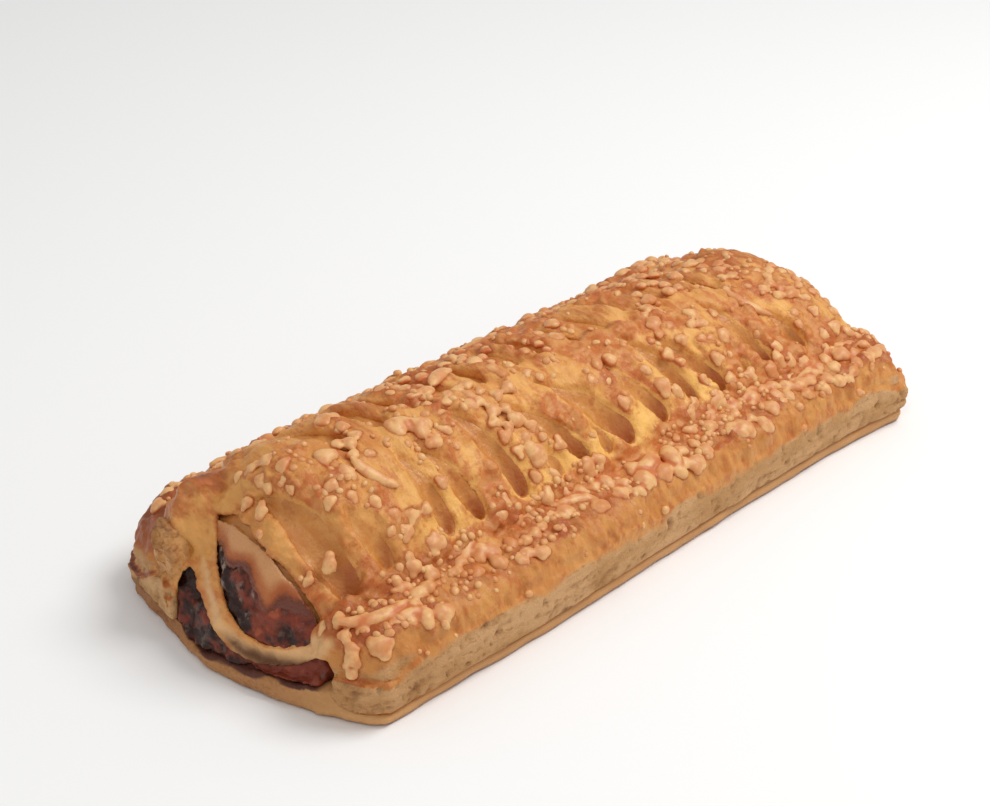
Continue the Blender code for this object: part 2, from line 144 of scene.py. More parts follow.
def planBumps(x, y, size, seed, layers=2):
    # the same bumps at every height
    return bumpLayers(x, y, 0.0 * x, size, seed, layers)


def nearEdge(y):
    push, start, end = bar["backPush"]
    bow = bar["nearBow"] * np.abs(y / bar["halfWidth"]) ** bar["bowPower"] - push * ease(start, end, y)
    corner, power = bar["nearCorner"]
    return -bar["halfLength"] + bow + corner * (np.abs(y) / bar["halfWidth"]) ** power


def farEdge(y):
    share = np.abs(y) / bar["halfWidth"]
    corner, power = bar["farCorner"]
    return bar["halfLength"] - bar["farBow"] * share ** 2 - corner * share ** power


def sideEdge(x):
    swells = (much * np.exp(-((x - at) / long) ** 2) for much, at, long in bar["sideSwells"])
    return bar["halfWidth"] + sum(swells)


def endRise(distance, slope):
    share = np.clip(distance / slope, 0.0, 1.0)
    return (1.0 - (1.0 - share) ** bar["slopePower"]) ** (1.0 / bar["slopePower"])


def closedShare(y):
    # 1 where the near end is shut, on both sides of its opening
    return np.maximum(ease(*bar["shutBehind"], y), ease(*bar["shutInFront"], -y))


def crustHeight(x, y):
    side = sideEdge(x) - np.abs(y)
    near = np.maximum(x - nearEdge(y), 0.0)
    far = np.maximum(farEdge(y) - x, 0.0)
    across = bar["flangeHigh"] + bar["flangeRise"] * np.clip(side / bar["flangeWide"], 0.0, 1.0)
    swell = 1.0 + bar["domeSwell"] * np.cos(np.pi * (x - bar["swellFrom"]) / bar["swellLong"])
    drop, start, end = bar["farDrop"]
    dome = np.clip(1.0 - (np.abs(y + bar["domeShift"]) / bar["domeHalf"]) ** bar["domePower"], 0.0, 1.0)
    across = across + bar["domeRise"] * swell * (1.0 - drop * ease(start, end, x)) * dome
    shut = closedShare(y)
    wall = bar["endWall"] + bar["endWallLean"] * np.clip(-y / bar["halfWidth"], -0.7, 0.75)
    down = (1.0 - shut) * endRise(near, bar["nearSlope"])
    down = down + shut * (wall + (1.0 - wall) * endRise(near, bar["closedSlope"]))
    tail = endRise(far, bar["farSlope"])
    down = down * (0.5 + 0.5 * tail + 0.3 * shut * (1.0 - tail))
    inset = np.minimum(np.minimum(side, far), np.where(shut > 0.5, near, bar["edgeRoll"]))
    inset = np.clip(inset / bar["edgeRoll"], 0.0, 1.0)
    return across * down - bar["edgeRoll"] * (1.0 - np.sqrt(1.0 - (1.0 - inset) ** 2))


def baseHeight(x, y):
    near = x - nearEdge(y)
    inside = ease(bar["halfWidth"] - 2.0, bar["halfWidth"] - 10.0, np.abs(y))
    middle, half = bar["rimCurve"]
    swell = bar["rimLift"] * np.minimum(((y + middle) / half) ** 2, 1.0) * inside
    dip, at, wide = bar["rimDip"]
    swell = swell - bar["rimLow"] - dip * np.exp(-((y - at) / wide) ** 2)
    swell = swell * ease(*bar["rimLong"], near)
    return bar["seamHigh"] + (bar["panHigh"] - bar["seamHigh"]) * inside + swell


def insideHeight(x, y):
    sheet = bar["crestSheet"] + (bar["flankSheet"] - bar["crestSheet"]) * ease(4.0, 20.0, np.abs(y))
    floor = baseHeight(x, y)
    room = np.maximum(crustHeight(x, y) - sheet - floor, 0.0)
    return floor + room * np.clip(1.0 - (np.abs(y) / bar["insideHalf"]) ** 8, 0.0, 1.0) ** 0.6


def insideStart(y):
    bare, shut = bar["insideStart"]
    return nearEdge(y) + bare + (shut - bare) * closedShare(y)


def fillingHeight(x, y):
    covered = ease(0.6, 2.2, x - cheeseFront(x, y))
    full = insideHeight(x, y)
    return full - 0.6 - covered * np.minimum(bar["cheeseDeep"], 0.55 * (full - baseHeight(x, y)))


def planDistance(x, y):
    # distance outside the bar's outline, seen from above
    half = sideEdge(x)
    across = np.clip(y / half, -1.0, 1.0) * bar["halfWidth"]
    near = (nearEdge(across) - x) / np.sqrt(1.0 + (0.65 * np.abs(across) / bar["halfWidth"]) ** 2)
    ends = np.maximum(near, x - farEdge(across))
    return softMax(np.abs(y) - half, ends, 1.5)


def allSlits():
    # low end, high end, width and row of each slit
    rule = slitRule
    low, astray = rule["lowY"], rule["astray"]
    found = [((xLow, low), (xHigh, y), wide, 0) for xLow, xHigh, y, wide in rule["nearRow"]]
    draw = np.random.default_rng(crumbRule["seed"] + 1)
    count, first, long, wide = rule["crest"]
    for k in range(count):
        middle = first + rule["pitch"] * k + draw.uniform(-astray, astray)
        half = 0.5 * long * draw.uniform(0.75, 1.0)
        y = rule["crestY"] + draw.uniform(-astray, astray)
        start = (middle + rule["lean"] * half, y - half)
        end = (middle - rule["lean"] * half, y + half)
        found.append((start, end, wide * draw.uniform(0.8, 1.2), 1))
    count, first, long, wide = rule["far"]
    for k in range(count):
        x = first + rule["pitch"] * k + draw.uniform(-astray, astray)
        reach = long * (draw.uniform(0.75, 1.1) if k % 4 != 2 else rule["shortened"])
        end = (x + rule["lean"] * reach, -low - reach)
        found.append(((x, -low), end, wide * draw.uniform(0.75, 1.15), 2))
    return found


def slitMap(x, y):
    # signed distance to the nearest slit, how far down it that is, and which kind it is
    best = np.full(np.broadcast(x, y).shape, 99.0)
    along = np.zeros(best.shape)
    kind = np.zeros(best.shape)
    for low, high, wide, row in allSlits():
        dx, dy = low[0] - high[0], low[1] - high[1]
        last = 1.0 - 0.35 * wide / np.hypot(dx, dy)
        share = np.clip(((x - high[0]) * dx + (y - high[1]) * dy) / (dx * dx + dy * dy), 0.0, last)
        away = np.hypot(x - high[0] - dx * share, y - high[1] - dy * share)
        swell = np.sin(np.pi * np.clip(share, 0.01, 0.985) ** 1.6) ** 0.6
        distance = away - 0.5 * wide * np.where(share > 0.65, np.maximum(swell, 0.88), swell)
        closer = distance < best
        best = np.where(closer, distance, best)
        along = np.where(closer, share, along)
        kind = np.where(closer, row, kind)
    return best, along, kind


def outlineDistance(u, v, outline):
    # signed distance to a closed outline, less than 0 inside
    best = np.full(np.broadcast(u, v).shape, 1e6, np.float32)
    inside = np.zeros(best.shape, bool)
    for (u0, v0), (u1, v1) in zip(outline, outline[1:] + outline[:1]):
        du, dv = u1 - u0, v1 - v0
        share = np.clip(((u - u0) * du + (v - v0) * dv) / (du * du + dv * dv), 0.0, 1.0)
        best = np.minimum(best, np.hypot(u - u0 - du * share, v - v0 - dv * share))
        crosses = (v0 > v) != (v1 > v)
        inside ^= crosses & (u < du * (v - v0) / (dv if dv else 1e-9) + u0)
    return np.where(inside, -best, best)


def endAxes():
    facing = Vector(openEnd["facing"]).normalized()
    across = Vector((0.0, 0.0, 1.0)).cross(facing).normalized()
    return np.array(across), np.array(facing.cross(across)), np.array(facing)


def endCuts(x, y, z):
    # distance to the window and to the opening under the band, less than 0 inside
    across, up, facing = endAxes()
    dx, dy, dz = (value - c for value, c in zip((x, y, z), openEnd["centre"]))
    u = dx * across[0] + dy * across[1] + dz * across[2]
    v = dx * up[0] + dy * up[1] + dz * up[2]
    w = dx * facing[0] + dy * facing[1] + dz * facing[2]
    deep = np.abs(w) - openEnd["deep"]
    window = np.maximum(outlineDistance(u, v, openEnd["window"]), deep)
    under = np.maximum(outlineDistance(u, v, openEnd["underBand"]), deep)
    return window, under


def samplePlaces(make):
    # x, y and z of the samples in a piece's box, then x and y over its whole plan
    low, high = make["box"]
    axes = [np.arange(a, b + make["pitch"], make["pitch"]) for a, b in zip(low, high)]
    x, y, z = axes[0][:, None, None], axes[1][None, :, None], axes[2][None, None, :]
    return x, y, z, x + 0.0 * y, 0.0 * x + y


def steepness(height, pitch):
    # what a height difference is multiplied by to give a distance
    slopes = np.gradient(height[:, :, 0], pitch)
    return np.clip(1.0 / np.sqrt(1.0 + slopes[0] ** 2 + slopes[1] ** 2), 0.3, 1.0)[:, :, None]


def connectedParts(count, edges):
    # the label of each vertex's own connected part
    label = np.arange(count)
    while True:
        lowest = np.minimum(label[edges[:, 0]], label[edges[:, 1]])
        before = label.copy()
        np.minimum.at(label, edges[:, 0], lowest)
        np.minimum.at(label, edges[:, 1], lowest)
        label = label[label]
        if np.array_equal(label, before):
            return label


def newObject(name, data):
    made = bpy.data.objects.new(name, data)
    bpy.context.scene.collection.objects.link(made)
    return made


def skinOf(name, field, make, keepAll=False):
    # the surface where a sampled distance is 0, as an object
    reach = 3.0 * make["pitch"]
    grid = openvdb.FloatGrid(reach)
    grid.copyFromArray(np.clip(field, -reach, reach).astype(np.float32))
    points, _, quads = grid.convertToPolygons(isovalue=0.0, adaptivity=0.0)
    quads = quads.astype(np.int64)
    if not keepAll:
        edges = np.concatenate([quads[:, [0, 1]], quads[:, [1, 2]], quads[:, [2, 3]], quads[:, [3, 0]]])
        label = connectedParts(len(points), edges)
        main = np.bincount(label).argmax()
        quads = quads[label[quads[:, 0]] == main]
        used, quads = np.unique(quads, return_inverse=True)
        points, quads = points[used], quads.reshape(-1, 4)
    points = points.astype(np.float64) * make["pitch"] + np.array(make["box"][0])
    mesh = bpy.data.meshes.new(name)
    mesh.vertices.add(len(points))
    mesh.vertices.foreach_set("co", (points * mm).astype(np.float32).ravel())
    mesh.loops.add(quads.size)
    mesh.loops.foreach_set("vertex_index", quads.astype(np.int32).ravel())
    mesh.polygons.add(len(quads))
    mesh.polygons.foreach_set("loop_start", np.arange(0, quads.size, 4, dtype=np.int32))
    mesh.update(calc_edges=True)
    mesh.validate()
    return newObject(name, mesh)


def pointsOf(piece):
    count = len(piece.data.vertices)
    place = np.empty(count * 3, np.float32)
    piece.data.vertices.foreach_get("co", place)
    return place.reshape(-1, 3).astype(np.float64) / mm


def normalsOf(piece):
    count = len(piece.data.vertices)
    normal = np.empty(count * 3, np.float32)
    piece.data.vertex_normals.foreach_get("vector", normal)
    return normal.reshape(-1, 3).astype(np.float64)


def movePoints(piece, points):
    piece.data.vertices.foreach_set("co", (points * mm).astype(np.float32).ravel())
    piece.data.update()


def verticesOf(piece):
    # places and normals, then the places' x, y and z
    points = pointsOf(piece)
    return points, normalsOf(piece), *points.T


def paint(piece, **shares):
    # named values at the vertices, which the finishes read
    for name, values in shares.items():
        layer = piece.data.attributes.new(name, "FLOAT", "POINT")
        layer.data.foreach_set("value", np.asarray(values, np.float32))


def thin(piece, hidden, keep):
    # fewer faces where nothing shows, so that what shows keeps its detail
    group = piece.vertex_groups.new(name="hidden")
    for index in np.flatnonzero(hidden):
        group.add([int(index)], 1.0, "REPLACE")
    fewer = piece.modifiers.new("fewer", "DECIMATE")
    fewer.ratio = keep
    fewer.vertex_group = "hidden"
    fewer.use_collapse_triangulate = True
    applyModifiers(piece)
    piece.vertex_groups.clear()


def applyModifiers(piece):
    graph = bpy.context.evaluated_depsgraph_get()
    mesh = bpy.data.meshes.new_from_object(piece.evaluated_get(graph))
    piece.modifiers.clear()
    piece.data = mesh


def smoothShade(piece):
    piece.data.polygons.foreach_set("use_smooth", np.ones(len(piece.data.polygons), bool))


def cheeseShare(x, y):
    # how much grated cheese lies at a place
    flange = np.exp(-((np.abs(y) - 28.5) / 4.0) ** 2)
    return (0.22 + 0.78 * flange) * ease(-86.0, -70.0, x) * np.where(y > 0, 0.6, 1.0)


def inSlit(x, y, apart):
    for low, high, wide, _ in allSlits():
        start, end = np.array(high), np.array(low)
        along = end - start
        point = np.array([x, y])
        share = np.clip(np.dot(point - start, along) / np.dot(along, along), 0.0, 1.0)
        if np.linalg.norm(point - start - along * share) < 0.5 * wide + apart:
            return True
    return False


def crumbPlaces():
    # x, y, half width, stretch and turn of each large crumb, largest first
    draw = np.random.default_rng(crumbRule["seed"])
    biggest, smallest = crumbRule["sizes"]
    places = []
    while len(places) < crumbRule["count"]:
        size = biggest + (smallest - biggest) * (len(places) / crumbRule["count"]) ** 0.5
        x, y = (draw.uniform(*side) for side in crumbRule["area"])
        chance, stretch, turn = draw.uniform(0.0, 1.0, 3)
        if chance > cheeseShare(x, y) or inSlit(x, y, 0.75 * size) or x < nearEdge(y) + crumbRule["free"]:
            continue
        if any(np.hypot(x - p[0], y - p[1]) < 0.95 * (size + p[2]) for p in places):
            continue
        places.append((x, y, size, 1.0 + 0.7 * stretch, 360.0 * turn))
    return places


def onCrust(x, y, sink):
    # a frame on the top sheet, its Z along the slope's normal
    reach = 0.8
    slopeX = (crustHeight(x + reach, y) - crustHeight(x - reach, y)) / (2.0 * reach)
    slopeY = (crustHeight(x, y + reach) - crustHeight(x, y - reach)) / (2.0 * reach)
    normal = Vector((-slopeX, -slopeY, 1.0)).normalized()
    turn = Vector((0.0, 0.0, 1.0)).rotation_difference(normal).to_matrix().to_4x4()
    return Matrix.Translation(Vector((x, y, float(crustHeight(x, y)))) + normal * sink) @ turn


class Wire:
    def __init__(self, finish, socket):
        self.finish = finish
        self.socket = socket

    def maths(self, operation, *values):
        return self.finish.wire("Math", {"operation": operation}, dict(enumerate(values)))

    def __add__(self, other):
        return self.maths("ADD", self, other)

    def __radd__(self, other):
        return self.maths("ADD", other, self)

    def __sub__(self, other):
        return self.maths("SUBTRACT", self, other)

    def __rsub__(self, other):
        return self.maths("SUBTRACT", other, self)

    def __mul__(self, other):
        return self.maths("MULTIPLY", self, other)

    def __rmul__(self, other):
        return self.maths("MULTIPLY", other, self)

    def broken(self, *noises):
        # a share whose edge each noise moves by so much
        total = self
        for noise, much in noises:
            total = total + (noise - 0.5) * much
        return total

    def between(self, low, high):
        # 0 at low and 1 at high, eased
        settings = {"interpolation_type": "SMOOTHSTEP"}
        return self.finish.wire("MapRange", settings, {0: self, 1: low, 2: high, 3: 0.0, 4: 1.0})


def addNode(tree, kind, settings, sockets):
    made = tree.nodes.new(kind)
    for key, value in settings.items():
        setattr(made, key, value)
    for key, value in sockets.items():
        value = value.socket if isinstance(value, Wire) else value
        if isinstance(value, bpy.types.NodeSocket):
            tree.links.new(value, made.inputs[key])
        else:
            made.inputs[key].default_value = value
    return made


class Finish:
    def __init__(self, name, look):
        self.look = look
        self.material = bpy.data.materials.new(name)
        self.material.use_nodes = True
        self.tree = self.material.node_tree
        self.tree.nodes.clear()

    def wire(self, kind, settings, sockets, output=0):
        return Wire(self, addNode(self.tree, "ShaderNode" + kind, settings, sockets).outputs[output])

    def place(self, stretch=(1.0, 1.0, 1.0), turn=(0.0, 0.0, 0.0)):
        # object coordinates in millimetres, stretched or turned for a grain
        sockets = {"Vector": self.wire("TexCoord", {}, {}, "Object"), "Rotation": turn,
                   "Scale": tuple(s / mm for s in stretch)}
        return self.wire("Mapping", {}, sockets)

    def noise(self, size, detail=3.0, rough=0.55, place=None):
        sockets = {"Vector": place or self.place(), "Scale": 1.0 / size, "Detail": detail, "Roughness": rough}
        return self.wire("TexNoise", {"normalize": True}, sockets, "Fac")

    def knobs(self, size):
        # 0 in the middle of each rounded knob
        sockets = {"Vector": self.place(), "Scale": 1.0 / size}
        return self.wire("TexVoronoi", {"feature": "SMOOTH_F1"}, sockets, "Distance")

    def painted(self, name):
        return self.wire("Attribute", {"attribute_name": name}, {}, "Fac")

    def blend(self, share, first, second, how="MIX"):
        # colours are named as in the look, or wired
        first, second = (tone(*self.look[c]) if isinstance(c, str) else c for c in (first, second))
        settings = {"data_type": "RGBA", "blend_type": how, "clamp_factor": True}
        return self.wire("Mix", settings, {0: share, 6: first, 7: second}, 2)

    def bump(self, height, strength, distance):
        sockets = {"Height": height, "Strength": strength, "Distance": distance * mm}
        return self.wire("Bump", {}, sockets)

    def close(self, varied):
        shader = self.wire("BsdfPrincipled", {}, varied | self.look["surface"])
        addNode(self.tree, "ShaderNodeOutputMaterial", {}, {0: shader})
        return self.material


def tone(red, green, blue):
    # a screen colour from 0 to 255 as the linear colour that a shader takes
    values = [c / 255.0 for c in (red, green, blue)]
    return tuple(c / 12.92 if c <= 0.04045 else ((c + 0.055) / 1.055) ** 2.4 for c in values) + (1.0,)


crustLook = {
    "gold": (228, 166, 92), "deepGold": (208, 132, 64), "collar": (248, 192, 104), "toast": (182, 104, 52),
    "dark": (116, 64, 38), "bare": (206, 144, 70), "bareShade": (156, 84, 32), "fried": (198, 112, 52),
    "friedDeep": (180, 90, 40), "filmPale": (210, 140, 78), "lip": (190, 104, 44),
    "side": (200, 152, 96), "sidePale": (218, 172, 120), "sideDark": (168, 118, 68), "pit": (140, 90, 50),
    "torn": (220, 162, 98), "tornDeep": (184, 118, 58), "poreShade": (112, 66, 38),
    "band": (230, 182, 128), "shade": (104, 62, 30),
    "darkening": (0.75, 0.62, 0.52, 1.0),  # what the colour is multiplied by
    "rough": 0.42, "grainTurn": 0.47,
    "surface": {"Specular IOR Level": 0.34, "Subsurface Weight": 0.1, "Subsurface Scale": 0.0015,
                "Subsurface Radius": (1.0, 0.5, 0.25)},
}


def bakedCrust():
    f = Finish("bakedCrust", crustLook)
    bare, deep, film, fried = map(f.painted, ("bare", "deep", "film", "fried"))
    toast, side, collar, pocket = map(f.painted, ("toast", "side", "collar", "pocket"))
    blotch = f.noise(8.0)
    streak = f.noise(1.9, 4.0, 0.6, f.place((1.0, 0.16, 0.5), (0.0, 0.0, -crustLook["grainTurn"])))
    grain = f.noise(1.1, 3.0, 0.6)
    fine = f.noise(0.45, 3.0, 0.6)
    colour = f.blend((blotch * 0.45 + streak * 0.65).between(0.42, 0.74), "gold", "deepGold")
    colour = f.blend(collar * (1.3 - blotch * 0.8), colour, "collar")
    toasted = toast.broken((streak, 1.2), (blotch, 0.9), (grain, 0.4))
    colour = f.blend(toasted.between(0.3, 0.95), colour, "toast")
    colour = f.blend(toast.broken((blotch, 1.2), (grain, 0.6)).between(0.95, 1.6), colour, "dark")
    tinged = f.noise(5.0, 3.0, 0.6).broken((grain, 0.4), (streak, 0.9))
    colour = f.blend(tinged.between(0.52, 0.76) * 0.7, colour, "fried")
    knob = f.knobs(1.9)
    filmTone = f.blend(knob.broken((grain, 0.6)).between(0.28, 0.6), "filmPale", "fried")
    colour = f.blend(film.broken((grain, 0.7), (blotch, 0.5)).between(0.32, 0.72), colour, filmTone)
    burnt = fried.broken((grain, 0.9), (blotch, 0.5)).between(0.35, 1.05)
    colour = f.blend(burnt * 0.8, colour, "friedDeep")
    # painted shade: darker, browner dough towards the deep low ends of the near-row slits
    inSlits = f.blend(deep.broken((streak, 0.4)).between(0.15, 1.0), "bare", "bareShade")
    colour = f.blend(bare.broken((fine, 0.2)).between(0.25, 0.75), colour, inSlits)
    layered = f.noise(1.4, 4.0, 0.6, f.place((0.22, 0.22, 1.0)))
    cloudy = f.noise(6.0, 3.0, 0.55, f.place((0.5, 0.5, 1.0)))
    sideTone = f.blend(cloudy.between(0.36, 0.62), "side", "sidePale")
    sideTone = f.blend((layered * 0.7 + grain * 0.45).between(0.58, 0.82), sideTone, "sideDark")
    colour = f.blend(side.broken((layered, 0.5), (cloudy, 0.3)).between(0.2, 0.8), colour, sideTone)
    colour = f.blend(f.painted("band") * 0.85, colour, "band")
    # painted shade on the lower, downward-facing part of the band at the open end
    colour = f.blend(f.painted("shade"), colour, "shade")
    torn = f.blend(grain.broken((blotch, 0.6)).between(0.4, 0.7), "torn", "tornDeep")
    colour = f.blend(pocket.broken((grain, 0.8)).between(0.35, 0.75), colour, torn)
    # painted shade: dark spots for the small holes in the torn pocket
    shadedPores = f.noise(1.5, 3.0, 0.5, f.place((1.0, 1.0, 1.4))).between(0.52, 0.72)
    colour = f.blend(shadedPores * pocket * 0.7, colour, "poreShade")
    lip = f.painted("lip").broken((grain, 0.5)).between(0.3, 0.8)
    colour = f.blend(lip * 0.85, colour, "lip")
    # painted shade in the pits of the side band and the torn pocket
    colour = f.blend(f.painted("pit") * 0.5, colour, "pit")
    # painted shade: darker and browner towards the near end, and darker along the outer flanges and the far
    # end
    colour = f.blend(f.painted("browned"), colour, crustLook["darkening"], "MULTIPLY")
    height = streak * 0.7 + grain * 0.4 + fine * 0.25 + knob * film * -0.5 + (layered + fine) * side * 0.5
    rough = crustLook["rough"] + side * 0.24 + bare * 0.1 + (fine - 0.5) * 0.3 - film * 0.05
    return f.close({"Base Color": colour, "Roughness": rough, "Normal": f.bump(height, 0.9, 0.6)})


baseLook = {
    "top": (206, 154, 98), "edge": (196, 142, 86), "low": (176, 118, 64), "sauce": (92, 48, 34),
    "under": (190, 134, 76), "underDark": (146, 90, 46),
    "darkening": (0.62, 0.5, 0.44, 1.0),  # what the colour is multiplied by
    "rough": 0.56,
    "surface": {"Specular IOR Level": 0.38, "Subsurface Weight": 0.1, "Subsurface Scale": 0.0015,
                "Subsurface Radius": (1.0, 0.5, 0.25)},
}


def bakedBase():
    f = Finish("bakedBase", baseLook)
    high = f.wire("SeparateXYZ", {}, {0: f.place()}, 2)
    browned = f.painted("browned")
    blotch, fine = f.noise(10.0), f.noise(0.8, 4.0, 0.6)
    layered = f.noise(1.2, 4.0, 0.6, f.place((0.16, 0.16, 1.0)))
    rim = f.blend((blotch * 0.6 + layered * 0.5).between(0.4, 0.72), "edge", "top")
    rim = f.blend(high.broken((layered, 1.6)).between(1.3, 0.1), rim, "low")
    cracked = (fine * 0.8).broken((layered, 1.2), (blotch, 0.5)).between(0.38, 0.6)
    # painted shade at the near end: darker cracks and a darker, browner colour where the base is darkened
    rim = f.blend(cracked * browned, rim, "low")
    rim = f.blend(browned * (0.5 + blotch), rim, baseLook["darkening"], "MULTIPLY")
    sauced = f.painted("sauce").broken((blotch, 0.8)).between(0.3, 0.8)
    under = f.blend((blotch * 0.7 + fine * 0.4).between(0.42, 0.72), "under", "underDark")
    colour = f.blend(f.painted("under"), f.blend(sauced, rim, "sauce"), under)
    height = layered * 0.5 + fine * 0.5 + f.knobs(4.5) * 0.35
    rough = baseLook["rough"] + (fine - 0.5) * 0.3
    return f.close({"Base Color": colour, "Roughness": rough, "Normal": f.bump(height, 0.9, 0.5)})


cheeseLook = {
    "pale": (210, 146, 76), "warm": (198, 126, 56), "fried": (172, 88, 36), "satin": (210, 150, 98),
    "stained": (98, 42, 24), "rough": 0.36,
    "surface": {"Specular IOR Level": 0.45, "Subsurface Weight": 0.12, "Subsurface Scale": 0.002,
                "Subsurface Radius": (1.0, 0.6, 0.3)},
}


def softCheese():
    f = Finish("softCheese", cheeseLook)
    fried, satin = f.painted("fried"), f.painted("satin")
    blotch, fine = f.noise(5.0), f.noise(0.7)
    streak = f.noise(1.6, 3.0, 0.6, f.place((1.0, 0.2, 0.6), (0.0, 0.0, -crustLook["grainTurn"])))
    colour = f.blend((blotch * 0.6 + streak * 0.5).between(0.42, 0.68), "pale", "warm")
    colour = f.blend(satin, colour, "satin")
    spots = f.noise(3.2, 2.0).between(0.6, 0.7)
    colour = f.blend(spots * (1.0 - satin) * 0.5, colour, "fried")
    colour = f.blend(fried.broken((blotch, 0.6)).between(0.2, 0.95), colour, "fried")
    stained = f.painted("stained").broken((blotch, 0.9), (fine, 0.5)).between(0.3, 1.0)
    colour = f.blend(stained * 0.9, colour, "stained")
    rough = cheeseLook["rough"] + (fine - 0.5) * 0.25 - satin * 0.1
    height = blotch * 0.3 + streak * 0.6 + fine * 0.3
    return f.close({"Base Color": colour, "Roughness": rough, "Normal": f.bump(height, 0.8, 0.7)})


fillingLook = {
    # glint: the colour of painted highlights on the dark filling
    "dark": (46, 22, 15), "maroon": (130, 56, 36), "red": (184, 96, 60), "glint": (156, 134, 118),
    "rough": 0.24,
    "surface": {"Specular IOR Level": 0.24, "Coat Weight": 0.12, "Coat Roughness": 0.06},
}


def darkFilling():
    f = Finish("darkFilling", fillingLook)
    blotch, fine = f.noise(3.4, 3.0, 0.5), f.noise(1.0, 3.0, 0.5)
    share = (f.painted("red") * 0.75).broken((blotch, 1.7), (fine, 0.4)).between(0.2, 0.75)
    colour = f.blend(share, "dark", "maroon")
    colour = f.blend(f.noise(5.0).between(0.6, 0.75) * share * 0.7, colour, "red")
    # painted highlights: grey glints on the dark filling, where the shine share allows
    glints = f.noise(2.4, 3.0, 0.6, f.place((1.0, 1.0, 0.6), (0.4, 0.3, 0.0))).between(0.54, 0.66)
    colour = f.blend(glints * f.painted("shine") * (1.0 - share) * 0.9, colour, "glint")
    rough = fillingLook["rough"] + (fine - 0.4) * 0.3 + f.painted("dry") * 0.15
    height = blotch * 0.7 + fine * 0.3
    return f.close({"Base Color": colour, "Roughness": rough, "Normal": f.bump(height, 0.9, 1.2)})


crumbLook = {
    "pale": (230, 178, 118), "pink": (218, 152, 98), "toasted": (206, 126, 66), "fried": (202, 112, 58),
    "rough": 0.42,
    "surface": {"Specular IOR Level": 0.42, "Subsurface Weight": 0.15, "Subsurface Scale": 0.0012,
                "Subsurface Radius": (1.0, 0.6, 0.35)},
}


def gratedCheese():
    f = Finish("gratedCheese", crumbLook)
    blotch, fine = f.noise(2.6), f.noise(0.5)
    colour = f.blend(blotch.between(0.4, 0.6), "pale", "pink")
    colour = f.blend(f.noise(7.0).between(0.5, 0.68) * 0.8, colour, "toasted")
    colour = f.blend(f.painted("low").broken((blotch, 0.7)).between(0.35, 0.95), colour, "fried")
    rough = crumbLook["rough"] + (fine - 0.5) * 0.2
    height = fine * 0.3 + blotch * 0.4
    return f.close({"Base Color": colour, "Roughness": rough, "Normal": f.bump(height, 0.35, 0.25)})


crustMake = {
    "pitch": 0.56, "box": ((-91.5, -41.5, 0.0), (91.5, 41.5, 44.0)), "keep": 0.35,
    "lumps": 0.5, "ropes": 0.55, "ropeWide": 4.2, "ropeLong": 26.0, "thinnest": 1.2,
    "swell": 0.35, "bulge": 0.8, "rimRound": 1.2, "lipRound": 2.2, "endRound": 1.9, "roomRound": 0.7,
    "roomHalf": 0.985, "roomLow": 1.6, "wallLean": 0.05, "endTrim": 0.7,
    "wider": (-0.2, 0.3, 0.0),  # added to each side of a slit of the near row, the crest and the far row
    "pocket": (-82.5, 18.0, 17.0), "pocketSize": 8.5,
    # how far each kind of relief stands out or goes in
    "relief": {
        "knobs": 1.9, "crumbFeet": 0.4, "streaks": 0.9, "uneven": 0.5, "flakes": 1.5, "shoulder": 0.9,
        "layers": 0.4, "pits": 1.6, "pocket": 1.5, "sponge": 4.0, "folds": 1.0,
    },
}


def alongGrain(x, y):
    # places across and along the strands of the top sheet
    turn = crustLook["grainTurn"]
    return x * np.cos(turn) + y * np.sin(turn), y * np.cos(turn) - x * np.sin(turn)


def crustTop(x, y):
    # the top sheet with its soft unevenness, in 2-D
    make = crustMake
    across, along = alongGrain(x, y)
    lumps = make["lumps"] * planBumps(x, y, 11.0, 21) + make["lumps"] * planBumps(x, y, 4.2, 31)
    ropes = make["ropes"] * bumpNoise(across / make["ropeWide"], along / make["ropeLong"], 0.0 * x, 35)
    top = crustHeight(x, y) + lumps + ropes * ease(28.0, 20.0, np.abs(y))
    return np.maximum(top, baseHeight(x, y) + bar["gap"] + make["thinnest"])


def openedSlits(x, y):
    # distance to the nearest slit as it shows, how far down it that is, and its row
    away, along, kind = slitMap(x, y)
    wider = np.choose(kind.astype(int), crustMake["wider"])
    return away - wider, along, kind


def wallBulge(z):
    return crustMake["bulge"] * np.sin(np.pi * np.clip((z - 1.6) / 12.5, 0.0, 1.0)) ** 0.7


def crustField(x, y, z, flatX, flatY):
    make = crustMake
    top = crustTop(flatX, flatY)
    base = baseHeight(flatX, flatY)
    g = steepness(top, make["pitch"])
    plan = planDistance(flatX, flatY) - make["swell"]
    solid = softMax((z - top) * g, plan - wallBulge(z), make["rimRound"])
    opened, _, kind = openedSlits(flatX, flatY)
    floor = np.where(kind == 1, slitRule["crestFloorHigh"], slitRule["floorHigh"])
    cut = np.maximum(opened + make["wallLean"] * np.maximum(top - z, 0.0), floor - z)
    solid = softMax(solid, -cut, make["lipRound"])
    roomPlan = np.maximum(np.abs(flatY) - bar["insideHalf"] * make["roomHalf"], insideStart(flatY) - flatX)
    roomPlan = np.maximum(roomPlan, flatX - farEdge(flatY) + bar["insideEnd"])
    room = np.maximum((z - np.maximum(insideHeight(flatX, flatY), base + make["roomLow"])) * g, roomPlan)
    solid = softMax(solid, -room, make["roomRound"])
    near = flatX[:, 0, 0] < -52.0  # the cuts of the open end reach no further
    window, under = endCuts(x[near], y, z)
    solid[near] = softMax(solid[near], -window - make["endTrim"], make["endRound"])
    solid[near] = softMax(solid[near], -under, make["endRound"])
    wide, high, deep = openEnd["farCut"]
    arch = np.hypot(y / (0.5 * wide), (z - bar["panHigh"] + 0.5) / high) - 1.0
    farHole = np.maximum(arch * high, bar["halfLength"] - deep - x)
    solid = softMax(solid, -farHole, 0.8)
    return softMax(solid, base + 0.5 * bar["gap"] - z, 0.3)


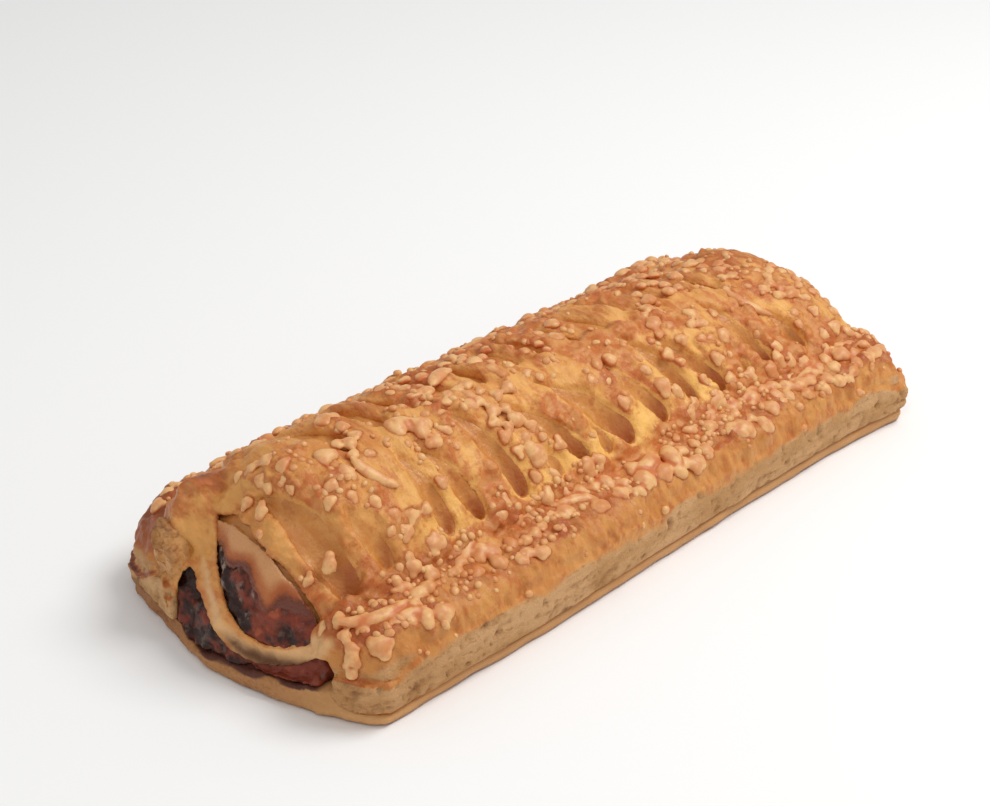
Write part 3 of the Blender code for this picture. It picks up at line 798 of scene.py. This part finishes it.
def makeCrust(crumbField):
    crust = skinOf("bakedCrust", crustField(*samplePlaces(crustMake)), crustMake)
    print("crust skin", len(crust.data.polygons))
    _, normals, px, py, pz = verticesOf(crust)
    hidden = (crustHeight(px, py) - pz > 2.2) & (planDistance(px, py) < -2.0) & (normals[:, 2] < 0.4)
    hidden &= px > -68.0
    hidden |= (normals[:, 2] < -0.8) & (pz < 9.0)
    thin(crust, hidden, crustMake["keep"])
    print("crust thinned", len(crust.data.polygons))
    dressCrust(crust, crumbField)
    return crust


def dressCrust(crust, crumbField):
    # relief along the normals, then what the finish reads
    points, normals, px, py, pz = verticesOf(crust)
    relief = crustMake["relief"]
    under = crustTop(px, py) - pz
    opened, along, kind = openedSlits(px, py)
    plan = planDistance(px, py) - crustMake["swell"]
    window, underBand = (value.ravel() for value in endCuts(px, py, pz))
    toEnd = np.minimum(window, underBand)
    atSide = ease(-2.0, -0.6, plan) * ease(0.5, 0.15, normals[:, 2])
    side = atSide * ease(13.6, 10.4, pz + 4.0 * planBumps(px, py, 9.0, 51, 3)) * ease(2.6, 4.2, pz)
    facing = np.maximum(normals[:, 2], 0.0)
    glazed = ease(1.8, 0.6, under) * ease(-0.6, 0.5, opened)
    film = filmShare(px, py) * glazed
    toCrumb = sampledAt(crumbField, points)
    fried = 0.8 * ease(1.1, 0.0, toCrumb) * ease(0.02, 0.3, normals[:, 2] + 0.2)
    fried = np.maximum(fried, 0.6 * ease(1.3, 0.4, opened) * ease(-0.6, 0.2, opened) * ease(1.4, 0.5, under))
    knobs = bumpLayers(px, py, pz, 2.2, 61, 2)
    leanX, leanY = alongGrain(px, py)
    streaks = bumpLayers(leanX, leanY * 0.22, pz * 0.4, 1.5, 71, 2)
    flakes = bumpLayers(leanX, leanY * 0.12, pz * 0.3, 3.4, 77, 2)
    crest = ease(12.0, 3.0, np.abs(py - 3.0)) * ease(-72.0, -60.0, px)
    layers = bumpLayers(px * 0.25, py * 0.25, pz, 1.3, 81, 2)
    pits = np.maximum(bumpLayers(px, py, pz, 1.6, 91, 2) - 0.16, 0.0)
    x0, y0, z0 = crustMake["pocket"]
    toPocket = np.sqrt((px - x0) ** 2 + (py - y0) ** 2 + (pz - z0) ** 2)
    pocket = ease(1.0, 0.5, toPocket / crustMake["pocketSize"])
    sponge = np.maximum(bumpLayers(px, py, pz, 1.7, 97, 2) - 0.05, 0.0)
    uneven = bumpLayers(px, py, pz, 2.6, 65, 2)
    wrinkled = ease(-60.0, -76.0, px) * ease(14.0, 24.0, py)
    folds = bumpLayers(px, py * 0.6, pz, 3.2, 95, 3)
    move = film * np.maximum(knobs + 0.1, -0.12) * relief["knobs"]
    move = move + relief["crumbFeet"] * ease(1.2, 0.1, toCrumb) * ease(-0.7, 0.0, toCrumb) * glazed
    strands = streaks * relief["streaks"] + uneven * relief["uneven"]
    strands = strands + crest * np.maximum(flakes, -0.1) * relief["flakes"]
    move = move + glazed * (1.0 - film) * strands
    shoulder = ease(-62.0, -72.0, px) * ease(22.0, 14.0, np.abs(py)) * glazed
    move = move + shoulder * relief["shoulder"] * bumpLayers(px * 0.8, py, pz, 2.8, 99, 3)
    move = move + side * (layers * relief["layers"] - pits * relief["pits"])
    move = move - pocket * (relief["pocket"] + sponge * relief["sponge"])
    move = move - wrinkled * glazed * np.maximum(folds, 0.0) * relief["folds"]
    movePoints(crust, points + normals * (move * ease(0.2, 1.2, pz))[:, None])
    bare = ease(1.2, 2.6, under) * ease(0.8, -0.2, opened)
    bare = np.maximum(bare, 0.75 * ease(0.9, 0.2, toEnd) * ease(1.4, 2.4, under))
    bare = np.maximum(bare, ease(2.2, 3.4, under) * ease(-1.4, -3.2, plan))
    bare = np.maximum(bare, 0.6 * pocket)
    # painted shade deep in the low end of each near-row slit, growing with the depth below the top
    deep = 0.7 * ease(0.6, 0.95, along) * ease(1.6, 4.5, under) * (kind == 0)
    toast = 0.72 * ease(13.0, 3.0, np.abs(py - 5.0)) * ease(-66.0, -44.0, px) + 0.3 * ease(24.0, 36.0, py)
    toast = toast + 1.35 * ease(-62.0, -75.0, px) * ease(3.0, 18.0, py) * glazed
    toast = toast + 0.3 * ease(-78.0, -88.0, px)
    rim = ease(5.0, 1.5, -plan) * ease(2.0, 6.0, pz)
    toast = toast * facing + 0.18 * rim
    collar = np.exp(-((py + 23.8) / 3.4) ** 2) + 0.4 * np.exp(-((py + 16.0) / 6.0) ** 2)
    lip = 0.6 * ease(1.0, 0.2, window) * ease(2.4, 1.0, under)
    band = ease(5.5, 3.5, window) * ease(5.5, 3.5, underBand) * ease(-74.0, -78.0, px)
    # painted shade that makes the crust darker and browner towards the near end; it also darkens the outer
    # flanges and the far end
    browned = ease(-20.0, -72.0, px) * (0.25 + 0.75 * ease(20.0, 27.0, np.abs(py)))
    browned = np.maximum(browned, 0.6 * np.maximum(ease(28.0, 33.0, np.abs(py)), ease(72.0, 82.0, px)))
    paint(crust, bare=bare, deep=deep, film=film * (1.0 - side), fried=fried, toast=toast, side=side,
          # painted shade on the lower, downward-facing part of the band
          band=band * (1.0 - lip), shade=band * ease(11.0, 7.5, pz) * ease(0.6, 0.2, normals[:, 2]),
          lip=np.clip(lip, 0.0, 1.0), pocket=pocket,
          # painted shade where the side's pits and the pocket's sponge sink in
          pit=np.clip(side * pits * 2.0 + pocket * sponge * 3.0, 0.0, 1.0),
          browned=browned * (1.0 - 0.8 * band) * (1.0 - 0.5 * side),
          collar=np.clip(collar, 0.0, 1.0) * (1.0 - film) * ease(-60.0, -50.0, px))
    smoothShade(crust)


def filmShare(x, y):
    # fried cheese that runs together between the crumbs
    flange = ease(23.5, 26.0, np.abs(y)) * ease(37.0, 34.0, np.abs(y))
    patches = planBumps(x, y, 8.0, 41)
    share = (0.26 + 0.64 * flange) * ease(-88.0, -82.0, x) * np.where(y > 0, 0.75, 1.0)
    share = share * (1.0 - 0.8 * ease(-62.0, -72.0, x) * ease(10.0, 20.0, y))
    share = share + 0.45 * np.exp(-((x - nearEdge(y) - 7.0) / 2.5) ** 2) * ease(4.0, -4.0, y)
    return np.clip(share + 1.1 * patches, 0.0, 1.0) * ease(-1.0, -3.5, planDistance(x, y))


baseMake = {
    "pitch": 0.7, "box": ((-91.5, -41.5, -1.4), (91.5, 41.5, 10.5)), "keep": 0.5,
    "tuck": 0.25, "bulge": 0.7, "wave": 0.35, "layers": 0.3, "rough": 1.1, "dimples": 0.9,
}


def makeBase():
    make = baseMake
    _, _, z, flatX, flatY = samplePlaces(make)
    plan = planDistance(flatX, flatY)
    wave = make["wave"] * planBumps(flatX, flatY, 9.0, 101)
    out = make["bulge"] * np.sin(np.pi * np.clip(z / 3.6, 0.0, 1.0)) - make["tuck"]
    solid = softMax(z - baseHeight(flatX, flatY), plan - out - wave, 1.0)
    solid = softMax(solid, 0.04 - z, 1.0)
    base = skinOf("basePastry", solid, make)
    _, normals, px, py, pz = verticesOf(base)
    inner = planDistance(px, py) < -3.0
    hidden = inner & ((normals[:, 2] < -0.5) | ((px > -70.0) & (normals[:, 2] > 0.5)))
    thin(base, hidden, make["keep"])
    points, normals, px, py, pz = verticesOf(base)
    down = normals[:, 2]
    plan = planDistance(px, py)
    layers = bumpLayers(px * 0.2, py * 0.2, pz, 1.3, 111, 2)
    dimples = np.maximum(planBumps(px, py, 6.0, 121, 3) - 0.1, 0.0) * ease(-0.6, -0.9, down)
    rough = make["rough"] * bumpLayers(px, py, pz * 0.6, 3.2, 131, 3)
    rough = rough * ease(-66.0, -76.0, px) * ease(0.3, 1.5, pz)
    points = points + normals * (make["layers"] * ease(-1.5, 0.0, plan) * layers + rough)[:, None]
    points[:, 2] = np.maximum(points[:, 2] + make["dimples"] * dimples * ease(-1.0, -4.0, plan), 0.0)
    movePoints(base, points)
    inward = px - nearEdge(py)
    stain = ease(-0.6, 1.2, inward + 2.0 * bumpLayers(px, py, pz, 5.0, 137, 2))
    # painted shade: the base at the near end is darker and browner, as it lies on the shaded side
    browned = ease(-74.0, -82.0, px) * (0.6 + 0.4 * ease(4.0, 14.0, py)) * ease(-30.0, -14.0, py)
    paint(base, under=ease(-0.3, -0.8, down) * ease(0.8, 0.3, pz), browned=browned,
          sauce=stain * ease(0.3, 0.7, down) * ease(26.0, 20.0, np.abs(py + 2.0)))
    smoothShade(base)
    return base


cheeseMake = {
    "pitch": 0.55, "box": ((-86.0, -27.0, 3.0), (87.0, 27.0, 40.5)), "keep": 0.4,
    "front": 7.3,  # how far in from the open end it starts
    # how far below the strands it lies in a slit, and below the top sheet at the window
    "rim": 1.5, "shallow": 2.5, "deeper": 2.6, "crestShallow": 2.2, "underTop": 0.2,
    "end": 3.6, "half": 0.98,
}


def windowShare(x, y):
    # 1 well inside the end window, seen where it meets the top sheet
    window, _ = endCuts(x, y, crustHeight(x, y))
    return ease(0.8, -1.0, window)


def cheeseTop(x, y):
    make = cheeseMake
    top = crustTop(x, y)
    opened, along, kind = openedSlits(x, y)
    nearRow = make["shallow"] + make["deeper"] * ease(0.4, 0.95, along)
    deep = np.where(kind == 1, make["crestShallow"], nearRow)
    deep = make["rim"] + (deep - make["rim"]) * ease(0.4, -1.7, opened)
    inside = insideHeight(x, y) - bar["gap"] - 0.3
    share = ease(1.5, 0.9, opened) * ease(-84.0, -78.0, x)
    height = inside + share * np.maximum(top - deep - inside, 0.0)
    return height + windowShare(x, y) * (1.0 - share) * np.maximum(top - make["underTop"] - height, 0.0)


def cheeseFront(x, y):
    wave = planBumps(x, y, 6.0, 141)
    return nearEdge(y) + cheeseMake["front"] + 1.4 * wave - 2.6 * np.exp(-((y + 9.5) / 4.5) ** 2)


def makeCheese():
    make = cheeseMake
    _, _, z, flatX, flatY = samplePlaces(make)
    floor = baseHeight(flatX, flatY) + 3.0 * bar["gap"] + 0.4
    front = cheeseFront(flatX, flatY)
    bottom = np.maximum(fillingHeight(flatX, flatY), floor)
    bottom = bottom + ease(3.0, 1.0, flatX - front) * windowShare(flatX, flatY)
    top = np.maximum(cheeseTop(flatX, flatY), bottom + 0.6)
    g = steepness(np.maximum(insideHeight(flatX, flatY), bottom + 0.5), make["pitch"])
    plan = np.maximum(front - flatX, flatX - farEdge(flatY) + make["end"])
    plan = np.maximum(plan, np.abs(flatY) - bar["insideHalf"] * make["half"])
    solid = softMax((z - top) * g, (bottom + 0.15 - z) * g, 0.5)
    solid = softMax(solid, plan, 0.8)
    cheese = skinOf("cheeseLayer", solid, make)
    _, normals, px, py, _ = verticesOf(cheese)
    opened = openedSlits(px, py)[0]
    hidden = ((opened > 1.8) | (normals[:, 2] < -0.2)) & (px > -68.0)
    thin(cheese, hidden, make["keep"])
    px, py, _ = pointsOf(cheese).T
    _, along, kind = openedSlits(px, py)
    fromFront = px - cheeseFront(px, py)
    atWindow = windowShare(px, py)
    # painted shade: darker and browner towards the deep low end of each near-row slit; then the real fried
    # front edge of the cheese
    fried = 0.7 * ease(0.5, 0.95, along) * (kind == 0)
    fried = np.maximum(fried, 0.9 * ease(3.2, 0.6, fromFront))
    paint(cheese, fried=fried, satin=atWindow, stained=ease(1.5, 0.2, fromFront) * atWindow)
    smoothShade(cheese)
    return cheese


fillingMake = {
    "pitch": 0.5, "box": ((-88.0, -27.0, 3.0), (87.0, 27.0, 36.0)), "keep": 0.25,
    "underTop": 1.2, "forward": 0.6, "end": 3.6, "half": 0.98, "folds": 1.5, "creases": 0.5,
}


def makeFilling():
    make = fillingMake
    _, _, z, flatX, flatY = samplePlaces(make)
    floor = baseHeight(flatX, flatY) + bar["gap"]
    top = np.maximum(fillingHeight(flatX, flatY) - bar["gap"], floor + 0.5)
    risen = np.maximum(crustTop(flatX, flatY) - make["underTop"] - top, 0.0)
    top = top + risen * windowShare(flatX, flatY) * ease(2.2, 0.4, flatX - cheeseFront(flatX, flatY))
    g = steepness(top, make["pitch"])
    forward = make["forward"] + 0.5 * np.exp(-((flatY - 7.0) / 6.0) ** 2)
    plan = np.maximum(insideStart(flatY) - forward - flatX, flatX - farEdge(flatY) + make["end"])
    plan = np.maximum(plan, np.abs(flatY) - bar["insideHalf"] * make["half"])
    solid = softMax((z - top) * g, floor - z, 0.5)
    solid = softMax(solid, plan, 0.9)
    filling = skinOf("darkFilling", solid, make)
    thin(filling, pointsOf(filling)[:, 0] > -70.0, make["keep"])
    points, normals, px, py, pz = verticesOf(filling)
    folds = make["folds"] * bumpLayers(px + 0.6 * pz, py, pz, 3.2, 161, 3)
    creases = np.maximum(0.6 - np.abs(bumpLayers(px, py, pz, 3.6, 171, 2)) * 2.4, 0.0)
    move = (0.7 * folds - make["creases"] * creases) * ease(-70.0, -74.0, px)
    movePoints(filling, points + normals * move[:, None])
    toFront = cheeseFront(px, py) - px
    red = 0.45 * ease(-4.0, -15.0, py) + 0.75 * ease(3.2, 0.4, toFront) * ease(0.0, -5.0, py)
    paint(filling, dry=ease(4.5, 1.5, toFront) + ease(12.0, 7.0, pz),
          red=np.clip(red + 0.55 * ease(13.0, 9.0, pz), 0.0, 1.0),
          # shine: where the painted highlights show on the filling
          shine=0.3 + 0.7 * ease(12.0, 16.0, pz) * ease(-15.0, -9.0, py))
    smoothShade(filling)
    return filling


crumbMake = {
    "pitch": 0.4, "box": ((-90.0, -39.0, 8.0), (90.0, 39.0, 43.0)), "keep": 0.35,
    "melt": 0.26, "wobble": 0.22, "flat": 0.78, "lift": 0.15, "lobeSeed": 43,
    "lobes": ((1.0, 1), (1.7, 4), (99.0, 6)),  # a crumb up to this half width, its lobes
    "bend": 0.035, "shredFlat": 0.38, "shredLift": 0.1,
    # the crumbs between the largest
    "middling": 900, "middlingSizes": (2.0, 0.85), "middlingSeed": 29, "apart": 0.86, "tries": 16000,
    "areaFrom": (-84.0, -35.5), "areaSize": (170.0, 71.0),
    # x, y and half width of the blobs that stand out along the near flange and on the strands
    "blobs": (
        (-74.0, -34.3, 2.3), (-59.5, -35.8, 2.1), (-74.4, -30.0, 1.6), (-76.4, -25.8, 1.6),
        (-78.6, -31.6, 1.8), (-62.1, -26.8, 1.8), (-54.7, -27.4, 1.7), (-42.4, -28.4, 2.1),
        (-41.4, -32.4, 1.7), (-13.1, -33.1, 2.0), (1.0, -32.7, 2.7), (6.2, -33.1, 2.4),
        (32.0, -33.5, 2.5), (37.6, -35.0, 2.0), (-19.5, -20.9, 2.2), (-39.7, -8.9, 2.3),
        (-61.7, -6.0, 2.1), (-60.9, -10.7, 1.8), (-65.0, -11.6, 1.6), (-71.9, -18.3, 1.5),
    ),
}


def middlingPlaces(taken):
    # x, y, half width, stretch and turn of the crumbs that lie in heaps between the largest
    draw = np.random.default_rng(crumbMake["middlingSeed"])
    biggest, smallest = crumbMake["middlingSizes"]
    spots = draw.uniform(0.0, 1.0, (crumbMake["tries"], 5))
    startX, startY = crumbMake["areaFrom"]
    longX, longY = crumbMake["areaSize"]
    x, y = startX + longX * spots[:, 0], startY + longY * spots[:, 1]
    opened = openedSlits(x, y)[0]
    upDome = ease(23.0, 18.0, np.abs(y))
    heaps = planBumps(x, y, 6.5, 201) * (2.2 + 2.6 * upDome)
    heaps = np.clip(0.4 - 0.35 * upDome + heaps, 0.0, 2.4)
    chance = crumbShare(x, y) * heaps * ease(0.4, 1.1, opened)
    chance = chance * awayFromEnd(x, y)
    found = [place[:3] for place in taken]
    places = []
    for k in np.flatnonzero(spots[:, 2] < chance):
        size = biggest + (smallest - biggest) * min(len(places) / crumbMake["middling"], 1.0) ** 0.6
        size *= 1.0 - 0.12 * upDome[k]
        if any(abs(x[k] - p[0]) + abs(y[k] - p[1]) < 6.0
               and np.hypot(x[k] - p[0], y[k] - p[1]) < crumbMake["apart"] * (size + p[2]) for p in found):
            continue
        found.append((x[k], y[k], size))
        places.append((x[k], y[k], size, 1.0 + 0.4 * spots[k, 3], 360.0 * spots[k, 4]))
        if len(places) == crumbMake["middling"]:
            break
    return places


def awayFromEnd(x, y):
    # the small crumbs stop short of the open end, later along the near flange
    near = 6.5 - 4.0 * ease(-21.0, -25.0, y)
    return ease(near, near + 2.5, x - nearEdge(y))


def crumbShare(x, y):
    # how thick the crumbs lie, heaped along the flanges and thin up the dome
    flange = ease(23.8, 26.0, np.abs(y)) * ease(36.5, 33.5, np.abs(y))
    dome = 0.2 + 0.1 * ease(20.0, 8.0, np.abs(y))
    return (dome + 0.85 * flange) * ease(-88.0, -80.0, x) * np.where(y > 0, 0.6, 1.0)


def lumpDistance(field, axes, frameOf, size, turn, bend=0.0):
    # joins one lump to the sampled cheese around it
    pitch, low = crumbMake["pitch"], crumbMake["box"][0]
    centre = frameOf @ Vector((0.0, 0.0, 0.0))
    reach = max(size) + 1.6
    spans = []
    for k in range(3):
        first = int(max((centre[k] - reach - low[k]) / pitch, 0))
        last = int(min((centre[k] + reach - low[k]) / pitch + 1, field.shape[k]))
        spans.append(slice(first, last))
    spans = tuple(spans)
    x, y, z = axes[0][spans[0]], axes[1][:, spans[1]], axes[2][:, :, spans[2]]
    back = (frameOf @ Matrix.Rotation(np.radians(turn), 4, "Z")).inverted()
    local = [back[r][0] * x + back[r][1] * y + back[r][2] * z + back[r][3] for r in range(3)]
    local[1] = local[1] + bend * (local[0] ** 2 - 0.3 * size[0] ** 2)
    spread = [c / s for c, s in zip(local, size)]
    long = np.sqrt(spread[0] ** 2 + spread[1] ** 2 + spread[2] ** 2) + 1e-6
    tilts = [(c / s) ** 2 for c, s in zip(spread, size)]
    steep = np.sqrt(tilts[0] + tilts[1] + tilts[2] + 1e-9)
    away = long * (long - 1.0) / steep
    flat = 0.0 * away
    away = away + crumbMake["wobble"] * bumpLayers(x + flat, y + flat, z + flat, 2.2, 181, 2)
    field[spans] = softMin(field[spans], away, crumbMake["melt"])


def sampleCrumbs():
    # the large crumbs and shreds, and the smaller ones between them, as one distance field
    axes = samplePlaces(crumbMake)[:3]
    field = np.full(tuple(a.size for a in axes), 3.0, np.float32)
    large = crumbPlaces() + [(x, y, size, 1.1, 90.0 * size) for x, y, size in crumbMake["blobs"]]
    draw = np.random.default_rng(crumbMake["lobeSeed"])
    for x, y, size, stretch, turn in large + middlingPlaces(large):
        lobes = next(many for most, many in crumbMake["lobes"] if size < most)
        for k in range(lobes):
            angle = np.radians(turn) + 2.4 * k + draw.uniform(-0.4, 0.4)
            part = size * (draw.uniform(0.5, 0.72) if k else 0.85)
            away = size * draw.uniform(0.4, 0.62) if k else 0.0
            spot = onCrust(x + stretch * away * np.cos(angle), y + away * np.sin(angle),
                           part * crumbMake["lift"])
            sizes = (part * (0.5 + 0.5 * stretch), part, part * crumbMake["flat"])
            lumpDistance(field, axes, spot, sizes, turn)
    for k, (x, y, length, wide, turn) in enumerate(crumbRule["shreds"]):
        spot = onCrust(x, y, crumbMake["shredLift"] * wide)
        bend = crumbMake["bend"] * (1.0 if k % 2 else -1.0)
        sizes = (0.5 * length, 0.5 * wide, crumbMake["shredFlat"] * wide)
        lumpDistance(field, axes, spot, sizes, turn, bend)
    return field


def sampledAt(field, points):
    # the crumbs' field between its samples
    pitch, low = crumbMake["pitch"], crumbMake["box"][0]
    places = [np.clip((points[:, k] - low[k]) / pitch, 0.0, field.shape[k] - 1.001) for k in range(3)]
    first = [place.astype(int) for place in places]
    beyond = [place - whole for place, whole in zip(places, first)]
    value = 0.0
    for corner in np.ndindex(2, 2, 2):
        steps = corner[::-1]
        part = np.prod([b if step else 1.0 - b for b, step in zip(beyond, steps)], axis=0)
        value = value + part * field[tuple(whole + step for whole, step in zip(first, steps))]
    return value


def blurred(field, cells):
    # the mean of each sample and its neighbours, which falls below the field in a crease
    for axis in range(3):
        total = field * 1.0
        for k in range(1, cells + 1):
            total = total + np.roll(field, k, axis) + np.roll(field, -k, axis)
        field = total / (2 * cells + 1)
    return field


def makeLargeCrumbs(field):
    crumbs = skinOf("largeCrumbs", field, crumbMake, keepAll=True)
    print("large crumbs skin", len(crumbs.data.polygons))
    px, py, pz = pointsOf(crumbs).T
    thin(crumbs, crustTop(px, py) - pz > 0.7, crumbMake["keep"])
    points = pointsOf(crumbs)
    px, py, pz = points.T
    crease = sampledAt(blurred(field, 2), points)
    paint(crumbs, low=np.maximum(0.9 * ease(1.1, 0.1, pz - crustTop(px, py)), ease(0.2, -0.12, crease)))
    smoothShade(crumbs)
    return crumbs


scatterMake = {
    # crumbs to the square millimetre, then millimetres
    "most": 0.4, "apart": 1.1, "smallest": 0.4, "largest": 0.95, "uneven": 0.3, "seed": 5,
    # stretch between these, lean in radians, and how fine their lumps are
    "flattest": (0.9, 0.85, 0.6), "roundest": (1.35, 1.1, 0.9), "lean": 0.3, "lumpScale": 900.0,
}


def scatterTree(finish):
    # small crumbs strewn over a surface by its painted share
    tree = bpy.data.node_groups.new("strewnCrumbs", "GeometryNodeTree")
    face = tree.interface
    face.new_socket(name="Geometry", in_out="INPUT", socket_type="NodeSocketGeometry")
    for name in ("Most", "Apart", "Smallest", "Largest", "Uneven"):
        face.new_socket(name=name, in_out="INPUT", socket_type="NodeSocketFloat")
    face.new_socket(name="Seed", in_out="INPUT", socket_type="NodeSocketInt")
    face.new_socket(name="Geometry", in_out="OUTPUT", socket_type="NodeSocketGeometry")

    def add(kind, settings, sockets):
        return addNode(tree, kind, settings, sockets)

    given = tree.nodes.new("NodeGroupInput").outputs
    share = add("GeometryNodeInputNamedAttribute", {"data_type": "FLOAT"}, {"Name": "strewn"})
    points = add("GeometryNodeDistributePointsOnFaces", {"distribute_method": "POISSON"}, {
        "Mesh": given["Geometry"], "Distance Min": given["Apart"], "Density Max": given["Most"],
        "Density Factor": share.outputs["Attribute"], "Seed": given["Seed"]})
    ball = add("GeometryNodeMeshIcoSphere", {}, {"Radius": 1.0, "Subdivisions": 2})
    place = add("GeometryNodeInputPosition", {}, {})
    parts = add("ShaderNodeSeparateXYZ", {}, {0: place.outputs[0]})
    sunk = add("ShaderNodeMath", {"operation": "MULTIPLY_ADD"}, {0: parts.outputs[2], 1: -0.6, 2: 0.35})
    marked = add("GeometryNodeStoreNamedAttribute", {"data_type": "FLOAT", "domain": "POINT"}, {
        "Geometry": ball.outputs["Mesh"], "Name": "low", "Value": sunk.outputs[0]})
    size = add("FunctionNodeRandomValue", {"data_type": "FLOAT"}, {
        2: given["Smallest"], 3: given["Largest"], "Seed": given["Seed"]})
    shape = add("FunctionNodeRandomValue", {"data_type": "FLOAT_VECTOR"}, {
        0: scatterMake["flattest"], 1: scatterMake["roundest"], "Seed": 3})
    scale = add("ShaderNodeVectorMath", {"operation": "SCALE"}, {
        0: shape.outputs[0], "Scale": size.outputs[1]})
    lean, fullTurn = scatterMake["lean"], 6.28
    spin = add("FunctionNodeRandomValue", {"data_type": "FLOAT_VECTOR"}, {
        0: (-lean, -lean, 0.0), 1: (lean, lean, fullTurn), "Seed": 4})
    turned = add("FunctionNodeRotateRotation", {"rotation_space": "LOCAL"}, {
        "Rotation": points.outputs["Rotation"], "Rotate By": spin.outputs[0]})
    laid = add("GeometryNodeInstanceOnPoints", {}, {
        "Points": points.outputs["Points"], "Instance": marked.outputs[0], "Rotation": turned.outputs[0],
        "Scale": scale.outputs[0]})
    real = add("GeometryNodeRealizeInstances", {}, {"Geometry": laid.outputs[0]})
    lumpy = add("ShaderNodeTexNoise", {"noise_dimensions": "3D"}, {
        "Scale": scatterMake["lumpScale"], "Detail": 1.0})
    centred = add("ShaderNodeMath", {"operation": "SUBTRACT"}, {0: lumpy.outputs[0], 1: 0.5})
    swelling = add("ShaderNodeMath", {"operation": "MULTIPLY"}, {0: centred.outputs[0], 1: given["Uneven"]})
    normal = add("GeometryNodeInputNormal", {}, {})
    push = add("ShaderNodeVectorMath", {"operation": "SCALE"}, {
        0: normal.outputs[0], "Scale": swelling.outputs[0]})
    moved = add("GeometryNodeSetPosition", {}, {"Geometry": real.outputs[0], "Offset": push.outputs[0]})
    smooth = add("GeometryNodeSetShadeSmooth", {}, {"Geometry": moved.outputs[0]})
    dressed = add("GeometryNodeSetMaterial", {}, {"Geometry": smooth.outputs[0], "Material": finish})
    add("NodeGroupOutput", {}, {0: dressed.outputs[0]})
    return tree


def makeSmallCrumbs(crust, finish):
    # the bed is a copy of the crust with its share of crumbs, and only the crumbs stay
    bed = newObject("smallCrumbs", crust.data.copy())
    _, normals, px, py, pz = verticesOf(bed)
    opened = openedSlits(px, py)[0]
    heaps = np.clip(0.5 + 1.6 * planBumps(px, py, 7.0, 211), 0.0, 1.0)
    share = np.clip(crumbShare(px, py) * 1.1 + 0.05, 0.0, 1.0) * heaps * ease(-0.2, 0.6, opened)
    share = share * ease(0.15, 0.45, normals[:, 2]) * ease(1.6, 0.8, crustTop(px, py) - pz)
    paint(bed, strewn=share * awayFromEnd(px, py))
    tree = scatterTree(finish)
    strewing = bed.modifiers.new("strewnCrumbs", "NODES")
    strewing.node_group = tree
    make = scatterMake
    values = {"Most": make["most"] / mm ** 2, "Apart": make["apart"] * mm, "Smallest": make["smallest"] * mm,
              "Largest": make["largest"] * mm, "Uneven": make["uneven"] * mm, "Seed": make["seed"]}
    for socket in tree.interface.items_tree:
        if socket.name in values:
            strewing[socket.identifier] = values[socket.name]
    applyModifiers(bed)
    return bed


studio = {
    "sky": 0.5,
    # name, place, what it points at, width, power
    "lamps": (
        ("keyLamp", (0.3, -0.22, 0.62), (0.04, 0.0, 0.02), 0.4, 2.9),
        ("fillLamp", (-0.5, -0.3, 0.7), (0.0, 0.0, 0.02), 0.2, 0.9),
    ),
    "floorHalf": 1.6,
    "lens": 77.83, "sensor": 36.0,
    "cameraAt": (-0.28542, -0.27218, 0.25323),
    "right": (0.70493625, -0.7092488, 0.00556997),
    "up": (0.3536002, 0.35823606, 0.86407975),
    "ahead": (0.61484289, 0.6071516, -0.5033241),
}

floorLook = {"white": (250, 250, 249), "rough": 0.9, "surface": {"Specular IOR Level": 0.1}}


def makeStage():
    half = studio["floorHalf"]
    mesh = bpy.data.meshes.new("floor")
    corners = [(-half, -half, 0.0), (half, -half, 0.0), (half, half, 0.0), (-half, half, 0.0)]
    mesh.from_pydata(corners, [], [(0, 1, 2, 3)])
    floor = newObject("floor", mesh)
    plain = {"Base Color": tone(*floorLook["white"]), "Roughness": floorLook["rough"]}
    floor.data.materials.append(Finish("paleFloor", floorLook).close(plain))
    world = bpy.data.worlds.new("softStudio")
    world.use_nodes = True
    sky = world.node_tree.nodes["Background"].inputs
    sky["Color"].default_value = (1.0, 1.0, 1.0, 1.0)
    sky["Strength"].default_value = studio["sky"]
    bpy.context.scene.world = world
    for name, place, aim, wide, power in studio["lamps"]:
        light = bpy.data.lights.new(name, "AREA")
        light.shape = "DISK"
        light.size = wide
        light.energy = power
        lamp = newObject(name, light)
        lamp.location = place
        lamp.rotation_euler = (Vector(aim) - Vector(place)).to_track_quat("-Z", "Y").to_euler()


def makeCamera():
    data = bpy.data.cameras.new("camera")
    data.lens = studio["lens"]
    data.sensor_width = studio["sensor"]
    data.clip_start = 0.01
    camera = newObject("camera", data)
    columns = [studio["right"], studio["up"], [-c for c in studio["ahead"]]]
    turn = Matrix(columns).transposed().to_4x4()
    camera.matrix_world = Matrix.Translation(Vector(studio["cameraAt"])) @ turn
    bpy.context.scene.camera = camera
    bpy.context.scene.view_settings.view_transform = "Standard"


makeCamera()
makeStage()
print("stage set")

crumbField = sampleCrumbs()
print("crumbs placed")
crust = makeCrust(crumbField)
crust.data.materials.append(bakedCrust())
base = makeBase()
base.data.materials.append(bakedBase())
print("base made", len(base.data.polygons))
cheese = makeCheese()
cheese.data.materials.append(softCheese())
print("cheese layer made", len(cheese.data.polygons))
filling = makeFilling()
filling.data.materials.append(darkFilling())
print("filling made", len(filling.data.polygons))
crumbFinish = gratedCheese()
largeCrumbs = makeLargeCrumbs(crumbField)
largeCrumbs.data.materials.append(crumbFinish)
print("large crumbs made", len(largeCrumbs.data.polygons))
smallCrumbs = makeSmallCrumbs(crust, crumbFinish)
print("small crumbs made", len(smallCrumbs.data.polygons))

for piece, node, slot in (
    (crust, "lattice_top", "top_pastry"), (base, "base_pastry", "base_pastry"),
    (cheese, "cheese_layer", "cheese_layer"), (filling, "sauce_filling", "sauce_filling"),
    (largeCrumbs, "lattice_top", "grated_cheese"), (smallCrumbs, "lattice_top", "grated_cheese"),
):
    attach(piece, "root")
    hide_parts(node)
